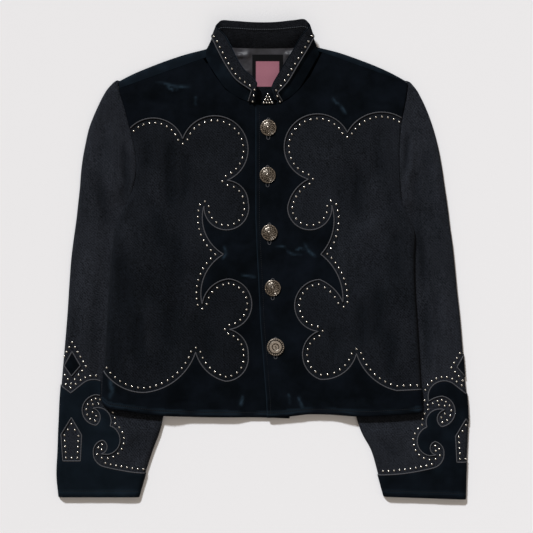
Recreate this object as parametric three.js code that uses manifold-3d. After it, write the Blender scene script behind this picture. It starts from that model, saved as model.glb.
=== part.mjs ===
import * as THREE from 'three';
import * as BufferGeometryUtils from 'three/addons/utils/BufferGeometryUtils.js';
import Module from 'manifold-3d';

// A western jacket laid flat on its back and buttoned up.
// +X is the wearer's left, +Y runs to the collar, +Z is up from the floor. Millimetres.

const wasm = await Module();
wasm.setup();

// Driving sizes
const cloth = 1.8; // wall of a body or sleeve panel, twill and lining together
const applique = 1.1; // velvet laid on the twill
const collarWall = 2.4; // stiffened collar stand
const seamGap = 0.3; // clearance wherever two pieces meet
const sleeveStack = 2 * cloth + 2 * seamGap; // a pressed sleeve under the body
const backLift = sleeveStack + seamGap; // underside of the back where it lies on a sleeve
const panelAir = 3.4; // air between the back and a front at the side folds
const foldWidth = 6; // reach of a rolled edge in from the outline
const armholeDip = 1.5; // how far both sides sink at an armhole seam
const wallInset = 2.9; // a lower panel ends this far inside the rolled edge above it
const buttonRadius = 12.4;
const buttonHeight = 5.2;

// Heights of the middle of a panel's wall above the floor
const pressedLevel = cloth + seamGap + cloth / 2;
const crownLevel = 6.4;
const chestLevel = 6.3;
const sideLevel = backLift + cloth + panelAir + cloth / 2;
const armholeLevel = 6.6;
const armpitLevel = 9.3;
const underLapLevel = cloth + seamGap + cloth / 2;
const overLapLevel = underLapLevel + cloth / 2 + seamGap + applique + 0.5 + cloth / 2;

const colours = {
  twill: new THREE.MeshStandardMaterial({ color: 0x1a1c21, roughness: 0.85, metalness: 0 }),
  velvet: new THREE.MeshStandardMaterial({ color: 0x0b0f14, roughness: 0.7, metalness: 0 }),
  lining: new THREE.MeshStandardMaterial({ color: 0x35343a, roughness: 0.45, metalness: 0 }),
  label: new THREE.MeshStandardMaterial({ color: 0xa0606c, roughness: 0.6, metalness: 0 }),
  silver: new THREE.MeshStandardMaterial({ color: 0x80776c, roughness: 0.35, metalness: 1 }),
};

// Fronts, hem first: the side edge or armhole, and the centre-front edge or neck seam.
// rolled: 1 where the side folds down to the back, 0 at an armhole seam.
const rightFront = [
  { sideX: -247, sideY: -217.8, frontX: 42, frontY: -244, rolled: 1, side: sideLevel, bow: -7 },
  { sideX: -246.5, sideY: -196, frontX: 42, frontY: -214.7, rolled: 1, side: sideLevel, bow: -4 },
  { sideX: -244.1, sideY: -155.8, frontX: 41, frontY: -160.4, rolled: 1, side: sideLevel, bow: 0 },
  { sideX: -240.2, sideY: -90.7, frontX: 39.5, frontY: -93.8, rolled: 1, side: sideLevel, bow: 0 },
  { sideX: -236.4, sideY: -28.7, frontX: 38, frontY: -31.8, rolled: 1, side: sideLevel, bow: 0 },
  { sideX: -231.7, sideY: 24, frontX: 36.4, frontY: 24, rolled: 1, side: sideLevel, bow: 0 },
  { sideX: -224, sideY: 58.1, frontX: 35, frontY: 73.6, rolled: 1, side: sideLevel, bow: 0 },
  { sideX: -211.6, sideY: 86, frontX: 33.3, frontY: 110, rolled: 0, side: armpitLevel, bow: 0 },
  { sideX: -200.7, sideY: 110.8, frontX: 33, frontY: 140, rolled: 0, side: armholeLevel, bow: 0 },
  { sideX: -195.3, sideY: 138.7, frontX: 32.6, frontY: 168, rolled: 0, side: armholeLevel, bow: 0 },
  { sideX: -196.1, sideY: 163.5, frontX: 31.8, frontY: 192, rolled: 0, side: armholeLevel, bow: 0 },
  { sideX: -200, sideY: 185.2, frontX: 31.8, frontY: 232, rolled: 0, side: armholeLevel, bow: 0 },
  { sideX: -205.4, sideY: 206.9, frontX: -10.5, frontY: 243.5, rolled: 0, side: armholeLevel, bow: 0 },
  { sideX: -210, sideY: 225.5, frontX: -33.8, frontY: 250.3, rolled: 0, side: armholeLevel, bow: 0 },
  { sideX: -214.7, sideY: 242.6, frontX: -57.4, frontY: 265.5, rolled: 0, side: armholeLevel, bow: 0 },
  { sideX: -219.3, sideY: 256.5, frontX: -74, frontY: 288, rolled: 0, side: armholeLevel, bow: 0 },
  { sideX: -221.8, sideY: 266.8, frontX: -91.6, frontY: 313.3, rolled: 0, side: armholeLevel, bow: 0 },
];
const leftFront = [
  { sideX: 246.7, sideY: -233, frontX: 7, frontY: -241.5, rolled: 1, side: sideLevel, bow: 0 },
  { sideX: 245.7, sideY: -205, frontX: 5.8, frontY: -213, rolled: 1, side: sideLevel, bow: 0 },
  { sideX: 243.3, sideY: -158, frontX: 1.5, frontY: -160, rolled: 1, side: sideLevel, bow: 0 },
  { sideX: 239.5, sideY: -96, frontX: -3.6, frontY: -94, rolled: 1, side: sideLevel, bow: 0 },
  { sideX: 235.8, sideY: -40, frontX: -6.3, frontY: -32, rolled: 1, side: sideLevel, bow: 0 },
  { sideX: 235, sideY: 8, frontX: -9.2, frontY: 24, rolled: 1, side: sideLevel, bow: 0 },
  { sideX: 235.5, sideY: 45, frontX: -10.9, frontY: 68, rolled: 1, side: sideLevel, bow: 0 },
  { sideX: 223.2, sideY: 75.2, frontX: -10.9, frontY: 105, rolled: 0, side: armpitLevel, bow: 0 },
  { sideX: 215.3, sideY: 95.3, frontX: -10.9, frontY: 130, rolled: 0, side: armholeLevel, bow: 0 },
  { sideX: 213.2, sideY: 118, frontX: -10.9, frontY: 155, rolled: 0, side: armholeLevel, bow: 0 },
  { sideX: 211.8, sideY: 145, frontX: -10.9, frontY: 182, rolled: 0, side: armholeLevel, bow: 0 },
  { sideX: 211.6, sideY: 170, frontX: -10.9, frontY: 206, rolled: 0, side: armholeLevel, bow: 0 },
  { sideX: 213, sideY: 197, frontX: -10.9, frontY: 239.5, rolled: 0, side: armholeLevel, bow: 0 },
  { sideX: 215.5, sideY: 220, frontX: 24, frontY: 242.3, rolled: 0, side: armholeLevel, bow: 0 },
  { sideX: 219.5, sideY: 242, frontX: 41, frontY: 251, rolled: 0, side: armholeLevel, bow: 0 },
  { sideX: 222, sideY: 256, frontX: 58, frontY: 266.5, rolled: 0, side: armholeLevel, bow: 0 },
  { sideX: 223.2, sideY: 266, frontX: 74, frontY: 287, rolled: 0, side: armholeLevel, bow: 0 },
  { sideX: 224, sideY: 275.6, frontX: 92, frontY: 322.5, rolled: 0, side: armholeLevel, bow: 0 },
];
const firstArmholeRow = 7;
const yokeSeamRow = 11; // the back panel ends here and the back yoke begins

// Where the back comes down off each sleeve that lies under it, one value for each lifted row
const backLiftEnds = [
  { right: -142, left: 134 },
  { right: -136, left: 130 },
  { right: -126, left: 120 },
  { right: -111, left: 108 },
  { right: -108, left: 107 },
  { right: -128, left: 126 },
  { right: -165, left: 165 },
  { right: -190, left: 205 },
];
const liftRamp = 16;

// Sleeves, shoulder first. pressed: beyond this X the body lies on the sleeve.
// open: 1 where the inner edge is a fold that shows, 0 where it is sewn or hidden.
const rightSleeve = [
  { outerX: -233.3, outerY: 274.4, innerX: -223.5, innerY: 271, crown: 4.4, pressed: null, open: 0 },
  { outerX: -241, outerY: 265.8, innerX: -222.2, innerY: 266.8, crown: 5.2, pressed: null, open: 0 },
  { outerX: -247.5, outerY: 255, innerX: -219.7, innerY: 256.5, crown: 5.9, pressed: null, open: 0 },
  { outerX: -254.5, outerY: 241, innerX: -215.1, innerY: 242.6, crown: 6.3, pressed: null, open: 0 },
  { outerX: -262, outerY: 224, innerX: -210.4, innerY: 225.5, crown: crownLevel, pressed: null, open: 0 },
  { outerX: -269, outerY: 205, innerX: -205.8, innerY: 206.9, crown: crownLevel, pressed: null, open: 0 },
  { outerX: -274, outerY: 183, innerX: -200.4, innerY: 185.2, crown: crownLevel, pressed: null, open: 0 },
  { outerX: -278, outerY: 162, innerX: -196.5, innerY: 163.5, crown: crownLevel, pressed: null, open: 0 },
  { outerX: -281, outerY: 139, innerX: -195.7, innerY: 138.7, crown: crownLevel, pressed: null, open: 0 },
  { outerX: -283, outerY: 113, innerX: -201.1, innerY: 110.8, crown: crownLevel, pressed: null, open: 0 },
  { outerX: -285.5, outerY: 90, innerX: -212, innerY: 86, crown: crownLevel, pressed: -232, open: 0 },
  { outerX: -288.3, outerY: 64.3, innerX: -180.6, innerY: 61, crown: crownLevel, pressed: -236, open: 0 },
  { outerX: -292.2, outerY: 36.4, innerX: -149.6, innerY: 33, crown: crownLevel, pressed: -239, open: 0 },
  { outerX: -296.1, outerY: 5.4, innerX: -126, innerY: 2, crown: crownLevel, pressed: -240, open: 0 },
  { outerX: -299.2, outerY: -36.4, innerX: -115.5, innerY: -36.4, crown: crownLevel, pressed: -241, open: 0 },
  { outerX: -302.2, outerY: -83, innerX: -118.6, innerY: -83, crown: crownLevel, pressed: -244, open: 0 },
  { outerX: -306, outerY: -129, innerX: -128, innerY: -129, crown: crownLevel, pressed: -247, open: 0 },
  { outerX: -310, outerY: -176, innerX: -139.5, innerY: -176, crown: crownLevel, pressed: -250, open: 0 },
  { outerX: -313, outerY: -213, innerX: -148, innerY: -214, crown: crownLevel, pressed: -251, open: 0 },
  { outerX: -314.3, outerY: -243, innerX: -154, innerY: -243, crown: crownLevel, pressed: -251, open: 0 },
  { outerX: -315.2, outerY: -262, innerX: -158.5, innerY: -262, crown: crownLevel, pressed: null, open: 1 },
  { outerX: -316.2, outerY: -292, innerX: -169.7, innerY: -292, crown: crownLevel, pressed: null, open: 1 },
  { outerX: -317.8, outerY: -331, innerX: -182, innerY: -330, crown: 6.2, pressed: null, open: 1 },
  { outerX: -314.7, outerY: -364.4, innerX: -191.8, innerY: -364.4, crown: 6, pressed: null, open: 1 },
];
const leftSleeve = [
  { outerX: 231.5, outerY: 275.2, innerX: 224.4, innerY: 275.6, crown: 4.4, pressed: null, open: 0 },
  { outerX: 239.5, outerY: 264.5, innerX: 223.6, innerY: 266, crown: 5.2, pressed: null, open: 0 },
  { outerX: 245, outerY: 254.5, innerX: 222.4, innerY: 256, crown: 5.9, pressed: null, open: 0 },
  { outerX: 252, outerY: 240, innerX: 219.9, innerY: 242, crown: 6.3, pressed: null, open: 0 },
  { outerX: 260.5, outerY: 218.5, innerX: 215.9, innerY: 220, crown: crownLevel, pressed: null, open: 0 },
  { outerX: 267.5, outerY: 195.5, innerX: 213.4, innerY: 197, crown: crownLevel, pressed: null, open: 0 },
  { outerX: 273.6, outerY: 170, innerX: 212, innerY: 170, crown: crownLevel, pressed: null, open: 0 },
  { outerX: 278.2, outerY: 143.4, innerX: 212.2, innerY: 145, crown: crownLevel, pressed: null, open: 0 },
  { outerX: 282, outerY: 117, innerX: 213.6, innerY: 118, crown: crownLevel, pressed: null, open: 0 },
  { outerX: 285.3, outerY: 95, innerX: 215.7, innerY: 95.3, crown: crownLevel, pressed: null, open: 0 },
  { outerX: 287.8, outerY: 76, innerX: 223.6, innerY: 75.2, crown: crownLevel, pressed: 244, open: 0 },
  { outerX: 290.5, outerY: 53, innerX: 188.3, innerY: 52, crown: crownLevel, pressed: 245, open: 0 },
  { outerX: 294.3, outerY: 27, innerX: 154.2, innerY: 25.6, crown: crownLevel, pressed: 244, open: 0 },
  { outerX: 297.5, outerY: -3, innerX: 129.4, innerY: -5.4, crown: crownLevel, pressed: 242, open: 0 },
  { outerX: 301.2, outerY: -43, innerX: 115.5, innerY: -44.2, crown: crownLevel, pressed: 241, open: 0 },
  { outerX: 306, outerY: -87.6, innerX: 115.5, innerY: -87.6, crown: crownLevel, pressed: 244, open: 0 },
  { outerX: 309.7, outerY: -132.5, innerX: 121.7, innerY: -132.5, crown: crownLevel, pressed: 247, open: 0 },
  { outerX: 313, outerY: -177.5, innerX: 131, innerY: -177.5, crown: crownLevel, pressed: 249.5, open: 0 },
  { outerX: 317, outerY: -218, innerX: 140.3, innerY: -219.3, crown: crownLevel, pressed: 251.5, open: 0 },
  { outerX: 318.2, outerY: -247, innerX: 147, innerY: -247, crown: crownLevel, pressed: 251.5, open: 0 },
  { outerX: 317.5, outerY: -266, innerX: 154, innerY: -266, crown: crownLevel, pressed: null, open: 1 },
  { outerX: 316.2, outerY: -292.2, innerX: 168.2, innerY: -292.2, crown: crownLevel, pressed: null, open: 1 },
  { outerX: 314.8, outerY: -331, innerX: 179, innerY: -329.4, crown: 6.2, pressed: null, open: 1 },
  { outerX: 313.9, outerY: -368, innerX: 188.3, innerY: -363.5, crown: 6, pressed: null, open: 1 },
];
const pressRamp = 22; // a sleeve rises this far outside the body's edge

// Largest creases: a trough has a negative depth, a ridge a positive one
const frontFolds = [
  { fromX: -142, fromY: 190, toX: -141, toY: 78, halfWidth: 9, depth: -1.5 },
  { fromX: -190, fromY: -78, toX: -191, toY: -158, halfWidth: 8, depth: -1.3 },
  { fromX: 108, fromY: 256, toX: 133, toY: 222, halfWidth: 9, depth: 0.8 },
  { fromX: 150, fromY: 150, toX: 143, toY: 62, halfWidth: 9, depth: -0.9 },
];
const sleeveFolds = [
  { fromX: -212, fromY: 176, toX: -216, toY: 86, halfWidth: 7, depth: -1.4 },
  { fromX: -240, fromY: 96, toX: -262, toY: 30, halfWidth: 8, depth: -1.3 },
  { fromX: 232, fromY: 206, toX: 225, toY: 112, halfWidth: 7, depth: -1.4 },
  { fromX: 262, fromY: 96, toX: 270, toY: 20, halfWidth: 8, depth: -1.1 },
];

// Collar stand, from the right end round the back of the neck to the left end.
// Each row runs from the neck seam to the free top edge.
const collarRows = [
  { seamX: -10.5, seamY: 244.7, seamZ: 5.6, topX: -8, topY: 275, topZ: 16 },
  { seamX: -33, seamY: 251.7, seamZ: 5.8, topX: -14, topY: 284, topZ: 16.5 },
  { seamX: -56.2, seamY: 266.9, seamZ: 6, topX: -27, topY: 295, topZ: 17 },
  { seamX: -72.2, seamY: 288.6, seamZ: 6.2, topX: -38, topY: 311, topZ: 17.5 },
  { seamX: -83, seamY: 306, seamZ: 6, topX: -47, topY: 329, topZ: 18.5 },
  { seamX: -88.5, seamY: 321, seamZ: 5, topX: -57, topY: 347, topZ: 20 },
  { seamX: -82, seamY: 332, seamZ: 3.4, topX: -69.5, topY: 361, topZ: 21.5 },
  { seamX: -64, seamY: 333, seamZ: 2.6, topX: -64, topY: 369, topZ: 22 },
  { seamX: -44, seamY: 331.5, seamZ: 2.4, topX: -46, topY: 369, topZ: 22 },
  { seamX: -15, seamY: 330.6, seamZ: 2.4, topX: -15, topY: 367, topZ: 21.5 },
  { seamX: 17, seamY: 330.6, seamZ: 2.4, topX: 17, topY: 367, topZ: 21.5 },
  { seamX: 46, seamY: 331.5, seamZ: 2.4, topX: 48, topY: 370, topZ: 22 },
  { seamX: 66, seamY: 333, seamZ: 2.6, topX: 65, topY: 371, topZ: 22 },
  { seamX: 82.5, seamY: 331.5, seamZ: 3.2, topX: 71, topY: 362, topZ: 21.8 },
  { seamX: 87, seamY: 321.5, seamZ: 5, topX: 60, topY: 348, topZ: 20 },
  { seamX: 80.5, seamY: 309, seamZ: 6, topX: 50, topY: 331, topZ: 18.5 },
  { seamX: 70, seamY: 290, seamZ: 6.6, topX: 33, topY: 304, topZ: 17.5 },
  { seamX: 56.6, seamY: 267.8, seamZ: 6.8, topX: 23, topY: 287, topZ: 17 },
  { seamX: 40.3, seamY: 252.8, seamZ: 6.8, topX: 17, topY: 277, topZ: 16.5 },
  { seamX: 24, seamY: 244.3, seamZ: 6.8, topX: 13.5, topY: 269, topZ: 16 },
];
const collarSections = 40;
const collarSteps = [0, 0.52, 0.97, 1]; // the twill band covers the middle stretch

// Lining inside the neck, and the plain label sewn on it
const liningRows = [
  { y: 253, leftX: -25, rightX: 31 },
  { y: 264, leftX: -44, rightX: 44 },
  { y: 282, leftX: -61, rightX: 60 },
  { y: 302, leftX: -74, rightX: 76 },
  { y: 326.5, leftX: -82, rightX: 83 },
];
const liningWall = 1;
const label = { x: 7.8, y: 294.5, width: 47, height: 51, wall: 0.8 };
const neckTab = { x: 8.5, baseY: 242.8, tipY: 262, baseWidth: 21, tipWidth: 10, wall: 1.6, z: 6.6 };

const buttons = [
  { x: 9, y: 206.5 },
  { x: 7.9, y: 133.3 },
  { x: 10.7, y: 44.5 },
  { x: 15.8, y: -41 },
  { x: 20.2, y: -132 },
];

// Scalloped edge of each twill field, from the armhole down to the side fold.
// bulge is the tangent of a quarter of the arc's angle, positive when it turns left.
const rightScallop = [
  { x: -203.8, y: 206.2, bulge: 0 },
  { x: -123, y: 189, bulge: -0.56 },
  { x: -55, y: 125, bulge: -1.58 },
  { x: -22, y: 91, bulge: -0.4 },
  { x: -90, y: 86, bulge: -1.17 },
  { x: -60, y: 11, bulge: 0.35 },
  { x: -93, y: -66, bulge: 0.33 },
  { x: -52, y: -27, bulge: -0.35 },
  { x: -51, y: -105, bulge: -0.9 },
  { x: -22, y: -145, bulge: -0.36 },
  { x: -57, y: -185, bulge: -0.45 },
  { x: -103, y: -140, bulge: -0.28 },
  { x: -182, y: -202, bulge: -0.3 },
  { x: -243, y: -169, bulge: -0.26 },
];
const leftScallop = [
  { x: 214.7, y: 221.7, bulge: 0 },
  { x: 131, y: 199, bulge: 0.43 },
  { x: 71, y: 127, bulge: 1.54 },
  { x: 39, y: 84, bulge: 0.24 },
  { x: 107, y: 87, bulge: 1.08 },
  { x: 90, y: 11, bulge: -0.27 },
  { x: 124, y: -63, bulge: -0.25 },
  { x: 88, y: -28, bulge: 0.2 },
  { x: 86, y: -108, bulge: 0.93 },
  { x: 62, y: -145, bulge: 0.32 },
  { x: 89, y: -182, bulge: 0.31 },
  { x: 145, y: -142, bulge: 0.36 },
  { x: 207, y: -199, bulge: 0.27 },
  { x: 246, y: -197, bulge: 0.01 },
];

// Cuff of the right sleeve: the velvet lies below this edge. The left cuff is its mirror.
const cuffEdge = [
  { x: -326.3, y: -177.5, bulge: 0 },
  { x: -296, y: -203, bulge: 0 },
  { x: -277, y: -188, bulge: 0 },
  { x: -238, y: -214, bulge: -0.75 },
  { x: -258, y: -206, bulge: 0.15 },
  { x: -257, y: -253, bulge: 0.88 },
  { x: -262, y: -227, bulge: 0.66 },
  { x: -235, y: -254, bulge: -0.63 },
  { x: -239, y: -298, bulge: -0.78 },
  { x: -249, y: -297, bulge: 0 },
  { x: -247, y: -276, bulge: 0.78 },
  { x: -261, y: -295, bulge: 0.38 },
  { x: -244, y: -317, bulge: 0.36 },
  { x: -177, y: -326, bulge: 0.06 },
];
const cuffPentagon = [
  { x: -295, y: -241 },
  { x: -279, y: -268 },
  { x: -281, y: -308 },
  { x: -308, y: -308 },
  { x: -311, y: -267 },
];
const cuffDiamond = [
  { x: -294, y: -139 },
  { x: -281, y: -161 },
  { x: -295, y: -177 },
  { x: -306, y: -161 },
];
const cuffMirror = { axisX: 9.6, dropY: -2 };
const underBody = [
  { x: -249.8, y: -100 },
  { x: -250.4, y: -221 },
  { x: -225, y: -234 },
  { x: -100, y: -243 },
  { x: -100, y: -100 },
];

function smooth(from, to, value) {
  const t = Math.min(1, Math.max(0, (value - from) / (to - from)));
  return t * t * (3 - 2 * t);
}

function mix(a, b, t) {
  return a + (b - a) * t;
}

// Drop of a rolled edge at a distance in from the outline: a quarter of an ellipse
function edgeRoll(distance, depth) {
  const t = Math.min(1, Math.max(0, 1 - distance / foldWidth));
  return depth * (1 - Math.sqrt(1 - t * t));
}

function foldHeight(folds, x, y) {
  let height = 0;
  for (const fold of folds) {
    const runX = fold.toX - fold.fromX;
    const runY = fold.toY - fold.fromY;
    const along = ((x - fold.fromX) * runX + (y - fold.fromY) * runY) / (runX * runX + runY * runY);
    const across = ((x - fold.fromX) * runY - (y - fold.fromY) * runX) / Math.hypot(runX, runY);
    const ends = smooth(-0.15, 0.25, along) * (1 - smooth(0.75, 1.15, along));
    height += fold.depth * ends * Math.exp(-((across / fold.halfWidth) ** 2));
  }
  return height;
}

// Joins an upper and a lower grid of points into one closed solid that faces out
function closeGrids(upper, lower) {
  const rows = upper.length;
  const columns = upper[0].length;
  const positions = [...upper.flat(), ...lower.flat()].flatMap((point) => point.toArray());
  const at = (i, j) => i * columns + j;
  const below = (i, j) => rows * columns + at(i, j);
  const triangles = [];
  const quad = (a, b, c, d) => triangles.push(a, b, c, a, c, d);
  for (let i = 0; i < rows - 1; i += 1) {
    for (let j = 0; j < columns - 1; j += 1) {
      quad(at(i, j), at(i, j + 1), at(i + 1, j + 1), at(i + 1, j));
      quad(below(i, j), below(i + 1, j), below(i + 1, j + 1), below(i, j + 1));
    }
  }
  for (let j = 0; j < columns - 1; j += 1) {
    quad(at(0, j), below(0, j), below(0, j + 1), at(0, j + 1));
    quad(at(rows - 1, j), at(rows - 1, j + 1), below(rows - 1, j + 1), below(rows - 1, j));
  }
  for (let i = 0; i < rows - 1; i += 1) {
    quad(at(i, 0), at(i + 1, 0), below(i + 1, 0), below(i, 0));
    quad(at(i, columns - 1), below(i, columns - 1), below(i + 1, columns - 1), at(i + 1, columns - 1));
  }
  const geometry = new THREE.BufferGeometry();
  geometry.setAttribute('position', new THREE.Float32BufferAttribute(positions, 3));
  if (signedVolume(positions, triangles) < 0) {
    for (let k = 0; k < triangles.length; k += 3) {
      [triangles[k + 1], triangles[k + 2]] = [triangles[k + 2], triangles[k + 1]];
    }
  }
  geometry.setIndex(triangles);
  return geometry;
}

function signedVolume(positions, triangles) {
  const corner = (index) => new THREE.Vector3().fromArray(positions, index * 3);
  let volume = 0;
  for (let k = 0; k < triangles.length; k += 3) {
    const [a, b, c] = [corner(triangles[k]), corner(triangles[k + 1]), corner(triangles[k + 2])];
    volume += a.dot(b.cross(c)) / 6;
  }
  return volume;
}

// Normals of a grid of points, on the side that the sign names
function gridNormals(grid, sign) {
  const last = grid.length - 1;
  return grid.map((row, i) => row.map((point, j) => {
    const across = row[Math.min(j + 1, row.length - 1)].clone().sub(row[Math.max(j - 1, 0)]);
    const along = grid[Math.min(i + 1, last)][j].clone().sub(grid[Math.max(i - 1, 0)][j]);
    return across.cross(along).normalize().multiplyScalar(sign);
  }));
}

// A wall between two distances from the middle surface of a panel
function wallOnGrid(grid, sign, from, to) {
  const normals = gridNormals(grid, sign);
  const moved = (distance) => grid.map((row, i) => row.map((point, j) => (
    point.clone().addScaledVector(normals[i][j], distance))));
  return closeGrids(moved(to), moved(from));
}

function toManifold(geometry) {
  const plain = geometry.clone();
  plain.deleteAttribute('normal');
  plain.deleteAttribute('uv');
  const merged = BufferGeometryUtils.mergeVertices(plain, 1e-4);
  return new wasm.Manifold(new wasm.Mesh({
    numProp: 3,
    vertProperties: Float32Array.from(merged.attributes.position.array),
    triVerts: Uint32Array.from(merged.index.array),
  }));
}

function fromManifold(solid) {
  const mesh = solid.getMesh();
  const geometry = new THREE.BufferGeometry();
  geometry.setAttribute('position', new THREE.Float32BufferAttribute(mesh.vertProperties, 3));
  geometry.setIndex(Array.from(mesh.triVerts));
  return geometry;
}

// A closed outline of straight and arched stretches as a list of points
function arcPoints(rows, stepsPerHalfTurn = 9) {
  const points = [new THREE.Vector2(rows[0].x, rows[0].y)];
  for (let k = 1; k < rows.length; k += 1) {
    const start = points[points.length - 1].clone();
    const end = new THREE.Vector2(rows[k].x, rows[k].y);
    const angle = 4 * Math.atan(rows[k].bulge);
    const steps = Math.max(1, Math.round((Math.abs(angle) / Math.PI) * stepsPerHalfTurn));
    const chord = end.clone().sub(start);
    const normal = new THREE.Vector2(-chord.y, chord.x);
    const centre = Math.abs(angle) < 0.05
      ? null
      : start.clone().addScaledVector(chord, 0.5).addScaledVector(normal, 0.5 / Math.tan(angle / 2));
    for (let step = 1; step <= steps; step += 1) {
      const t = step / steps;
      points.push(centre ? start.clone().rotateAround(centre, angle * t) : start.clone().lerp(end, t));
    }
  }
  return points;
}

// An upright prism on an outline, tall enough to cut any panel
function prism(points, bottom = -2, top = 30) {
  const geometry = new THREE.ExtrudeGeometry(new THREE.Shape(points), {
    depth: top - bottom,
    bevelEnabled: false,
    steps: 1,
  });
  geometry.translate(0, 0, bottom);
  return toManifold(geometry);
}

function vectors(rows) {
  return rows.map((row) => new THREE.Vector2(row.x, row.y));
}

// Column places across a panel: close together at a rolled edge, then even
function columnPlaces(width, interior, rollBothEnds) {
  const scale = Math.min(1, width / 26);
  const start = [0, 0.6, 2.2, foldWidth].map((distance) => (distance * scale) / width);
  const end = rollBothEnds ? start.map((place) => 1 - place).reverse() : [1];
  const first = start[start.length - 1];
  const final = end[0];
  const middle = Array.from({ length: interior }, (_, k) => mix(first, final, (k + 1) / (interior + 1)));
  return [...start, ...middle, ...end];
}

// Middle surface of a front, hem first, from the side edge to the centre front
function frontGrid(rows, isLeft) {
  const interior = 11;
  return rows.map((row, i) => {
    const liftEnd = Math.abs(backLiftEnds[Math.min(i, firstArmholeRow)][isLeft ? 'left' : 'right']);
    const side = new THREE.Vector2(row.sideX, row.sideY);
    const front = new THREE.Vector2(row.frontX, row.frontY);
    const width = side.distanceTo(front);
    const inward = front.clone().sub(side).normalize();
    side.addScaledVector(inward, cloth / 2);
    const drop = row.rolled ? row.side - backLift - 0.4 : armholeDip;
    return columnPlaces(width, interior, false).map((place) => {
      const point = side.clone().lerp(front, place);
      const level = frontLevel(point.x, row.side, liftEnd, isLeft);
      const z = level + foldHeight(frontFolds, point.x, point.y) - edgeRoll(place * width, drop);
      const bow = row.bow * 4 * place ** 0.7 * (1 - place ** 0.7);
      return new THREE.Vector3(point.x, point.y + bow, z);
    });
  });
}

// Height of a front's wall: high at the side fold, low where the fronts lap
function frontLevel(x, side, liftEnd, isLeft) {
  const outward = smooth(liftEnd - 2 * liftRamp, liftEnd + liftRamp * 0.6, Math.abs(x));
  if (isLeft) {
    return mix(mix(overLapLevel, chestLevel + 0.1, smooth(52, 80, x)), side, outward);
  }
  return mix(mix(chestLevel, underLapLevel, smooth(-52, -16, x)), side, outward);
}

function sleeveGrid(rows) {
  const interior = 6;
  return rows.map((row) => {
    const outer = new THREE.Vector2(row.outerX, row.outerY);
    const inner = new THREE.Vector2(row.innerX, row.innerY);
    const inward = inner.clone().sub(outer).normalize();
    outer.addScaledVector(inward, cloth / 2);
    inner.addScaledVector(inward, -cloth / 2);
    const width = outer.distanceTo(inner);
    return columnPlaces(width, interior, true).map((place) => {
      const point = outer.clone().lerp(inner, place);
      const innerDistance = (1 - place) * width;
      const fold = foldHeight(sleeveFolds, point.x, point.y);
      let z = row.crown - edgeRoll(place * width, row.crown - cloth / 2 - 0.2);
      if (row.pressed !== null) {
        const outside = Math.abs(row.pressed) - Math.abs(point.x);
        const free = smooth(0, -pressRamp, outside);
        z = Math.min(z + fold * free, mix(pressedLevel, row.crown, free));
      } else {
        z += fold - edgeRoll(innerDistance, row.open ? row.crown - cloth / 2 - 0.2 : armholeDip);
      }
      return new THREE.Vector3(point.x, point.y, z);
    });
  });
}

// Under sleeve: flat on the floor, just inside the rolled edges of the sleeve above it
function underSleeve(rows) {
  const points = [];
  const middle = (row) => new THREE.Vector2((row.outerX + row.innerX) / 2, (row.outerY + row.innerY) / 2);
  for (const row of rows) {
    const outer = new THREE.Vector2(row.outerX, row.outerY);
    const inset = Math.min(wallInset, outer.distanceTo(middle(row)) * 0.85);
    points.push(outer.add(middle(row).sub(outer).setLength(inset)));
  }
  for (const row of [...rows].reverse()) {
    const inner = new THREE.Vector2(row.innerX, row.innerY);
    const free = row.open || row.pressed !== null;
    points.push(free ? inner.add(middle(row).sub(inner).setLength(wallInset)) : inner);
  }
  return flatPiece(points, 0, cloth);
}

function flatPiece(points, z, wall) {
  const geometry = new THREE.ExtrudeGeometry(new THREE.Shape(points), { depth: wall, bevelEnabled: false });
  geometry.translate(0, 0, z);
  return geometry;
}

// Back panel: on the floor between the sleeves, and up over them at the sides
function backPanel() {
  const upper = [];
  for (let i = 0; i <= yokeSeamRow; i += 1) {
    const right = rightFront[i];
    const left = leftFront[i];
    const lifted = i <= firstArmholeRow;
    const ends = backLiftEnds[Math.min(i, firstArmholeRow)];
    const inset = lifted ? wallInset : 0;
    const rightX = right.sideX + inset;
    const leftX = left.sideX - inset;
    const places = [];
    for (const t of [0, 1 / 3, 2 / 3, 1]) {
      places.push(mix(rightX, ends.right, t));
    }
    for (const t of [0.3, 0.65, 1]) {
      places.push(ends.right + liftRamp * t);
    }
    for (const t of [0.25, 0.5, 0.75]) {
      places.push(mix(ends.right + liftRamp, ends.left - liftRamp, t));
    }
    for (const t of [1, 0.65, 0.3]) {
      places.push(ends.left - liftRamp * t);
    }
    for (const t of [0, 1 / 3, 2 / 3, 1]) {
      places.push(mix(ends.left, leftX, t));
    }
    const hem = i === 0 ? -5 : 0;
    upper.push(places.map((x) => {
      const t = (x - rightX) / (leftX - rightX);
      const y = mix(right.sideY, left.sideY, t) + hem * 4 * t * (1 - t) + (i === 0 ? 1.5 : 0);
      const onRight = 1 - smooth(ends.right, ends.right + liftRamp, x);
      const onLeft = smooth(ends.left - liftRamp, ends.left, x);
      return new THREE.Vector3(x, y, cloth + (lifted ? backLift * Math.max(onRight, onLeft) : 0));
    }));
  }
  const lower = upper.map((row) => row.map((point) => new THREE.Vector3(point.x, point.y, point.z - cloth)));
  return closeGrids(upper, lower);
}

// Shoulder silhouette of the yoke, from the armhole to the neck on each side
const rightShoulder = [
  { x: -221.6, edgeY: 279 },
  { x: -200, edgeY: 290 },
  { x: -175, edgeY: 300.5 },
  { x: -150, edgeY: 310 },
  { x: -120, edgeY: 320 },
  { x: -93, edgeY: 327 },
];
const leftShoulder = [
  { x: 223.1, edgeY: 280.6 },
  { x: 200, edgeY: 291.5 },
  { x: 175, edgeY: 302.3 },
  { x: 150, edgeY: 312 },
  { x: 120, edgeY: 322.5 },
  { x: 93, edgeY: 329.5 },
];

function shoulderSeamY(front, x) {
  const t = (x - front.sideX) / (front.frontX - front.sideX);
  return mix(front.sideY, front.frontY, t) + 0.5;
}

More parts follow.
